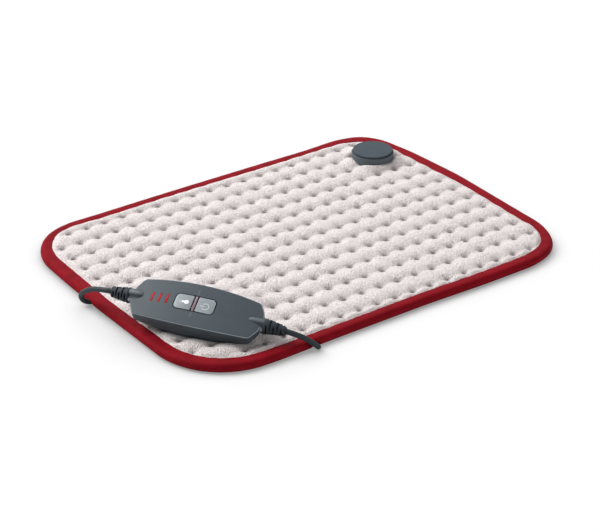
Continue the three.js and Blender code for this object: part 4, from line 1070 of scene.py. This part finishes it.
def edgeDistance(x, y):
    # distance round the edge of the nearest edge point, and the outward direction there
    r = pad["cornerRadius"]
    hx, hy, arc = pad["length"] / 2 - r, pad["width"] / 2 - r, r * math.pi / 2
    overX, overY = np.abs(x) - hx, np.abs(y) - hy
    angle = np.arctan2(y - np.sign(y) * hy, x - np.sign(x) * hx) % (2 * math.pi)
    starts = np.array([2 * hy, 2 * hy + arc + 2 * hx, 4 * hy + 2 * arc + 2 * hx, 4 * hy + 3 * arc + 4 * hx])
    quarter = np.minimum((angle / (math.pi / 2)).astype(int), 3)
    corner = starts[quarter] + (angle - quarter * math.pi / 2) * r
    sideX = np.where(x > 0, y + hy, 2 * hy + 2 * arc + 2 * hx + hy - y)
    sideY = np.where(y > 0, 2 * hy + arc + hx - x, 4 * hy + 3 * arc + 2 * hx + x + hx)
    inCorner = (overX > 0) & (overY > 0)
    distance = np.where(inCorner, corner, np.where(overX > overY, sideX, sideY))
    outX = np.where(inCorner, np.cos(angle), np.where(overX > overY, np.sign(x), 0))
    outY = np.where(inCorner, np.sin(angle), np.where(overX > overY, 0, np.sign(y)))
    return distance, outX, outY


# quilted pad: one crowned form from its underside to the fleece

quilt = dict(
    pitchX=20.58, pitchY=23.7, shiftX=-1.8, shiftY=-4.5, cellsX=380, cellsY=284,
    underside=6.35, undersideClear=0.1, leastThick=0.5, slotLow=6.2, slotHigh=8.6, tuck=6, edgeRound=9,
    edgeFade=60, crest=12.5, valley=2.6, fullness=0.8, waist=0.8, blunt=0.6, notch=2, notchWidth=4.6,
    tuft=0.9, tuftWidth=2.2, tuftPaintedShade=0.85, notchPaintedShade=0.2, valleyPaintedShade=0.1,
)
# slow waves: how much, millimetres per radian along X and along Y, start
driftX = [(0.7, math.inf, 37, 0.6), (0.4, 53, 29, 0)]
driftY = [(0.8, 41, math.inf, 1.1), (0.4, -33, 47, 0)]
swelling = [(0.06, 17, 23, 0), (0.05, 9.1, -13.7, 2)]
ripple = dict(height=0.18, alongX=3.7, alongY=4.3, wander=2, wanderX=13, wanderY=11)
askew = dict(x=-145, y=-125, reachX=60, reachY=45, moveX=3.2, moveY=-2.2)
press = dict(leftOf=-80, frontOf=10, castFrom=-20, deep=0.35, soften=26)
wire = dict(below=1, reach=2, radius=0.9, shoulder=0.6, clear=0.3)
rise = dict(height=7.45, along=(-54.3, -22.3, 14.3, 54.3), across=(-4.45, 9.55, 45.45, 72.45), margin=4)


def waves(x, y, rows):
    return sum(amount * np.sin(x / alongX + y / alongY + start) for amount, alongX, alongY, start in rows)


def ramp(value, lines, margin):
    start, full, fade, end = lines
    up = (value - start + margin) / (full - start)
    down = (end - value + margin) / (end - fade)
    return np.clip(np.minimum(up, down), 0, 1)


def riseOver(x, y, margin=0):
    # the rise over the plug, in the plug's own direction; with a margin its slopes are eased
    heading = math.radians(controller["heading"])
    dx = x - (controller["fromLeft"] - pad["length"] / 2)
    dy = y - (controller["fromFront"] - pad["width"] / 2)
    s = dx * math.cos(heading) + dy * math.sin(heading)
    o = -dx * math.sin(heading) + dy * math.cos(heading)
    share = np.minimum(ramp(s, rise["along"], margin), ramp(o, rise["across"], margin))
    return rise["height"] * (share * share * (3 - 2 * share) if margin else share)


def edgeDepth(x, y, inset):
    radius = pad["cornerRadius"] - inset
    beyondX = np.abs(x) - (pad["length"] / 2 - inset - radius)
    beyondY = np.abs(y) - (pad["width"] / 2 - inset - radius)
    outside = np.hypot(np.maximum(beyondX, 0), np.maximum(beyondY, 0))
    return radius - outside - np.minimum(np.maximum(beyondX, beyondY), 0)


def rippled(x, y):
    first = np.sin(x / ripple["alongX"] + ripple["wander"] * np.sin(y / ripple["wanderY"]))
    second = np.sin(y / ripple["alongY"] + ripple["wander"] * np.sin(x / ripple["wanderX"]))
    return ripple["height"] * first * second


def quiltTop(x, y):
    pulled = bell(x - askew["x"], askew["reachX"]) * bell(y - askew["y"], askew["reachY"])
    gridX = x - quilt["shiftX"] + waves(x, y, driftX) + askew["moveX"] * pulled
    gridY = y - quilt["shiftY"] + waves(x, y, driftY) + askew["moveY"] * pulled
    fx = ((gridX / quilt["pitchX"]) % 1 - 0.5) * quilt["pitchX"]
    fy = ((gridY / quilt["pitchY"] + 0.5) % 1 - 0.5) * quilt["pitchY"]
    acrossX = np.sin(np.pi * np.sqrt(fx ** 2 + quilt["blunt"]) / quilt["pitchX"])
    acrossY = np.sin(np.pi * np.sqrt(fy ** 2 + quilt["blunt"]) / quilt["pitchY"])
    radius = np.hypot(fx, fy)
    tuft = bell(radius, quilt["tuftWidth"])
    notch = bell(radius, quilt["notchWidth"])
    valley = 1 - acrossY ** quilt["fullness"]
    crown = quilt["crest"] - quilt["valley"] * valley * (1 + waves(x, y, swelling))
    crown = crown - quilt["waist"] * (1 - acrossX) - quilt["notch"] * notch - quilt["tuft"] * tuft
    crown = crown + rippled(x, y)
    wider = widerAt(edgeDistance(x, y)[0])
    depth = np.clip((edgeDepth(x, y, pad["bindingWidth"]) - wider) / quilt["edgeRound"], 0, 1)
    share = np.sqrt(1 - (1 - depth) ** 2)
    height = quilt["slotHigh"] + (crown - quilt["slotHigh"]) * share
    # painted shade: darkest in the tufts, less in the notches round them and along the valleys between rows
    paintedShade = quilt["tuftPaintedShade"] * tuft + quilt["notchPaintedShade"] * notch + quilt["valleyPaintedShade"] * valley
    return height, np.clip(paintedShade * share, 0, 1), 1 - valley


def padGrid():
    # a flat grid drawn into the rounded rectangle under the tape, with how many points are in a row
    bpy.ops.mesh.primitive_grid_add(x_subdivisions=quilt["cellsX"], y_subdivisions=quilt["cellsY"], size=2)
    piece = named("quiltedPad")
    places = np.empty(len(piece.data.vertices) * 3)
    piece.data.vertices.foreach_get("co", places)
    grid = places.reshape(-1, 3)
    columns = int(np.count_nonzero(grid[:, 1] == grid[0, 1]))
    inset = pad["bindingWidth"] - quilt["tuck"]
    radius = pad["cornerRadius"] - inset
    y = grid[:, 1] * (pad["width"] / 2 - inset)
    beyond = np.maximum(np.abs(y) - (pad["width"] / 2 - inset - radius), 0)
    reach = pad["length"] / 2 - inset - radius + np.sqrt(np.maximum(radius ** 2 - beyond ** 2, 0))
    return piece, grid[:, 0] * reach, y, columns


def pressUnder(x, y, top, columns):
    # the fleece gives way under the controller, and slopes down to it all round
    tree = surfaceTree(bottomPiece.data)
    pressed = top.copy()
    for i in np.nonzero((x < press["leftOf"]) & (y < press["frontOf"]))[0]:
        hit = tree.ray_cast(Vector((x[i], y[i], press["castFrom"])) * mm, Vector((0, 0, 1)))
        if hit[0] is not None:
            pressed[i] = min(top[i], hit[0].z / mm - press["deep"])
    field = (top - pressed).reshape(-1, columns)
    for _ in range(press["soften"]):
        for axis in (0, 1):
            field = (np.roll(field, 1, axis) + 2 * field + np.roll(field, -1, axis)) / 4
    return top - np.maximum(field.ravel(), top - pressed)


def swellRoundCap(x, y, top, plump):
    away = np.hypot(x - cap["x"], y - cap["y"])
    swell = cap["collar"] * (cap["collarLow"] + cap["collarPlump"] * plump)
    top = top + swell * bell(away - cap["radius"] - cap["collarAway"], cap["collarWidth"])
    underCap = away < cap["radius"] - cap["seatInset"]
    return np.where(underCap, np.minimum(top, cap["seat"] - cap["clear"]), top)


def coverWire(x, y, top):
    tree = surfaceTree(nodes["heating_wire"].data)
    for i in np.nonzero(top < quilt["crest"] - quilt["valley"] - wire["below"])[0]:
        spot, _, _, far = tree.find_nearest(Vector((x[i], y[i], top[i])) * mm, wire["reach"] * mm)
        if spot is not None:
            over = wire["radius"] + wire["clear"] - max(far / mm - wire["shoulder"], 0)
            top[i] = max(top[i], spot.z / mm + over)
    return top


def quiltedPad():
    piece, x, y, columns = padGrid()
    top, paintedShade, plump = quiltTop(x, y)
    covered = edgeDepth(x, y, pad["bindingWidth"]) < 0
    distance, outX, outY = edgeDistance(x, y)
    move = outAt(distance) * np.clip(1 - edgeDepth(x, y, 0) / quilt["edgeFade"], 0, 1) ** 2
    x, y = x + outX * move, y + outY * move
    top = pressUnder(x, y, top + riseOver(x, y, rise["margin"]), columns)
    top = swellRoundCap(x, y, top, plump)
    low = np.where(covered, quilt["slotLow"], quilt["underside"] + riseOver(x, y) + quilt["undersideClear"])
    top = coverWire(x, y, np.maximum(top, low + quilt["leastThick"]))
    applyModifier(piece, "SOLIDIFY", thickness=1 * mm, offset=-1)
    both = np.concatenate((np.column_stack((x, y, top)), np.column_stack((x, y, low)))) * mm
    piece.data.vertices.foreach_set("co", both.ravel())
    # painted shade values on the fleece points, none on the underside
    layer = piece.data.attributes.new("paintedHollowShade", "FLOAT", "POINT")
    layer.data.foreach_set("value", np.concatenate((paintedShade, np.zeros(len(x)))))
    piece.data.update()
    only(piece)
    bpy.ops.object.shade_smooth()
    settle(piece, fleeceMat, stands=["top_cover", "heater_carrier", "bottom_cover"])


quiltedPad()
print("quilted pad built")


# folded tape round the edge, and its stitches

# folds are (inward, height below the tape's top or above the floor) pairs, sunk where the stitches run
binding = dict(
    height=9.4, round=4.6, roundSteps=12, stations=760, slotLow=6.05, slotHigh=8.75, slotBack=5,
    topFold=[(7, -0.05), (8.6, 0.05), (9.4, 0.25), (10.2, 0.1), (10.9, 0.25)], topEnd=0.6,
    underFold=[(10.8, 0.6), (10.1, 0.1), (9.2, 0)], underEnd=1.4, smooth=60,
    pucker=0.16, puckerRun=3.1, puckerWander=1.7, puckerWanderRun=17, puckerTurn=0.5,
    sidePucker=0.3, sideFrom=7, lift=3.6, liftTo=6, liftBelow=6.6, widenFrom=5,
)
crossings = [Vector((-220, 17.3, 0)), Vector((-95.4, -165, 0))]  # where the leads go under


def bindingSection():
    width, top, half = pad["bindingWidth"], binding["height"], binding["height"] / 2
    section = []
    for i in range(binding["roundSteps"] + 1):
        angle = math.pi * (i / binding["roundSteps"] - 0.5)
        section.append((binding["round"] * (1 - math.cos(angle)), half * (1 + math.sin(angle))))
    section += [(inward, top - drop) for inward, drop in binding["topFold"]]
    section.append((width, top - binding["topEnd"]))
    section += [(width, binding["slotHigh"]), (binding["slotBack"], binding["slotHigh"])]
    section += [(binding["slotBack"], binding["slotLow"]), (width, binding["slotLow"])]
    return section + [(width, binding["underEnd"])] + binding["underFold"]


def puckerShare(k):
    # full on the top fold, less on the upper side, none below
    roundEnd = binding["roundSteps"]
    if roundEnd < k <= roundEnd + len(binding["topFold"]) + 1:
        return 1
    return binding["sidePucker"] if binding["sideFrom"] < k <= roundEnd else 0


def tapeRow(made, section, distance):
    place, out = edgePlace(distance)
    shown = place + out * outAt(distance)
    wider = widerAt(distance)
    lift = sum(math.exp(-(((place - c).length / binding["lift"]) ** 4)) for c in crossings)
    wander = binding["puckerWander"] * math.sin(distance / binding["puckerWanderRun"])
    widenRun = pad["bindingWidth"] - binding["widenFrom"]
    row = []
    for k, (inward, height) in enumerate(section):
        wave = math.sin(distance / binding["puckerRun"] + wander + k * binding["puckerTurn"])
        spot = shown - out * (inward + wider * max(0, (inward - binding["widenFrom"]) / widenRun))
        z = height + binding["pucker"] * puckerShare(k) * wave
        if z < binding["liftBelow"]:
            z += lift * max(0, binding["liftTo"] - z)
        row.append(made.verts.new((spot.x * mm, spot.y * mm, max(z, 0) * mm)))
    return row


def edgeBinding():
    section = bindingSection()
    count, stations = len(section), binding["stations"]
    made = bmesh.new()
    rows = [tapeRow(made, section, perimeter * s / stations) for s in range(stations)]
    around = [0]
    for a, b in zip(section, section[1:] + section[:1]):
        around.append(around[-1] + math.hypot(a[0] - b[0], a[1] - b[1]))
    uv = made.loops.layers.uv.new("along")
    for s in range(stations):
        for k in range(count):
            t, n = (s + 1) % stations, (k + 1) % count
            face = made.faces.new((rows[s][k], rows[t][k], rows[t][n], rows[s][n]))
            face.smooth = True
            corners = ((s, k), (s + 1, k), (s + 1, k + 1), (s, k + 1))
            for loop, (u, v) in zip(face.loops, corners):
                loop[uv].uv = (perimeter * u / stations * mm, around[v] * mm)
    piece = fromBuilt("edgeTape", made)
    smoothBy(piece, binding["smooth"])
    settle(piece, tapeMat, stands=["edge_binding"])


stitch = dict(
    inward=9.45, widerShare=0.75, sunk=0.3, pitch=4.2, length=3, thick=0.55, sides=6, droop=0.35,
    shape=((-0.5, 0.35), (-0.3, 0.9), (0, 1), (0.3, 0.9), (0.5, 0.35)),
)


def stitchRow():
    made = bmesh.new()
    count, sides = int(perimeter / stitch["pitch"]), stitch["sides"]
    up = Vector((0, 0, 1))
    for s in range(count):
        distance = perimeter * s / count
        place, out = edgePlace(distance)
        step = Vector((-out.y, out.x, 0))
        inward = stitch["inward"] + stitch["widerShare"] * widerAt(distance) - outAt(distance)
        centre = place - out * inward + up * (binding["height"] - stitch["sunk"])
        rings = []
        for share, size in stitch["shape"]:
            middle = centre + step * (share * stitch["length"]) - up * (stitch["droop"] * (2 * share) ** 2)
            ring = []
            for k in range(sides):
                angle = 2 * math.pi / sides * k
                across = out * math.cos(angle) + up * math.sin(angle)
                ring.append(made.verts.new((middle + across * (stitch["thick"] / 2 * size)) * mm))
            rings.append(ring)
        for a, b in zip(rings, rings[1:]):
            for k in range(sides):
                n = (k + 1) % sides
                made.faces.new((a[k], a[n], b[n], b[k])).smooth = True
        made.faces.new(rings[0][::-1])
        made.faces.new(rings[-1])
    bmesh.ops.recalc_face_normals(made, faces=made.faces)
    settle(fromBuilt("tapeStitches", made), threadMat)


edgeBinding()
stitchRow()
print("edge tape built")


# floor, light and background, in metres

lamps = dict(
    key=dict(place=(-2.3, 3.1, 3.9), size=3, power=372),
    back=dict(place=(1.8, 2.9, 3.1), size=2.8, power=80),
    front=dict(place=(1, -3.1, 0.8), size=1.6, power=26),
)
skyStrength = 0.14
ground = dict(
    size=8, below=0.0002, tone=0.8, roughness=0.95, glow=0.7, shadowFrom=1.2, shadowTo=1.8,
    nearReach=0.09, nearSamples=16, nearFrom=0.4, contact=0.4, open=1.06,
)
white = (1, 1, 1, 1)


def brightRays(tree):
    # camera, glossy and transmitted rays all meet the white background
    rays = node(tree, "ShaderNodeLightPath").outputs
    either = calculate(tree, "MAXIMUM", rays["Is Camera Ray"], rays["Is Glossy Ray"])
    return calculate(tree, "MAXIMUM", either, rays["Is Transmission Ray"])


def paleFloor():
    # bright rays see a white floor that keeps its shadow beside the pad; other rays see plain pale matt
    material, tree, shader = startFinish("paleFloor")
    matt = {"Base Color": shade(white, ground["tone"]), "Roughness": ground["roughness"]}
    fill(tree, shader, {**matt, "Specular IOR Level": 0})
    near = node(tree, "ShaderNodeAmbientOcclusion", {"Distance": ground["nearReach"]},
                samples=ground["nearSamples"]).outputs["AO"]
    shine = spread(tree, near, ground["nearFrom"], 1, ground["contact"], ground["open"])
    glow = node(tree, "ShaderNodeEmission", {"Color": white, "Strength": shine})
    parts = node(tree, "ShaderNodeSeparateXYZ", {"Vector": objectCoords(tree)}).outputs
    reach = []
    for axis, size in (("X", pad["length"]), ("Y", pad["width"])):
        side = calculate(tree, "ABSOLUTE", parts[axis])
        reach.append(calculate(tree, "MULTIPLY", side, 2 / (size * mm)))
    away = calculate(tree, "MAXIMUM", *reach)
    glowShare = spread(tree, away, ground["shadowFrom"], ground["shadowTo"], ground["glow"], 1)
    share = calculate(tree, "MULTIPLY", brightRays(tree), glowShare)
    mixed = node(tree, "ShaderNodeMixShader", {0: share, 1: shader.outputs[0], 2: glow.outputs[0]})
    fill(tree, tree.nodes["Material Output"], {"Surface": mixed.outputs[0]})
    return material


def studio():
    bpy.ops.mesh.primitive_plane_add(size=ground["size"], location=(0, 0, -ground["below"]))
    floor = named("floor")
    wear(floor, paleFloor())
    for name, lamp in lamps.items():
        bpy.ops.object.light_add(type="AREA", location=lamp["place"])
        lit = bpy.context.object
        lit.name = name + "Light"
        lit.data.size = lamp["size"]
        lit.data.energy = lamp["power"]
        lit.rotation_euler = (-Vector(lamp["place"])).to_track_quat("-Z", "Y").to_euler()
    world = bpy.data.worlds.new("softStudio")
    scene.world = world
    world.use_nodes = True
    tree = world.node_tree
    strength = spread(tree, brightRays(tree), 0, 1, skyStrength, 1)
    fill(tree, tree.nodes["Background"], {"Color": white, "Strength": strength})


studio()
print("studio lit")
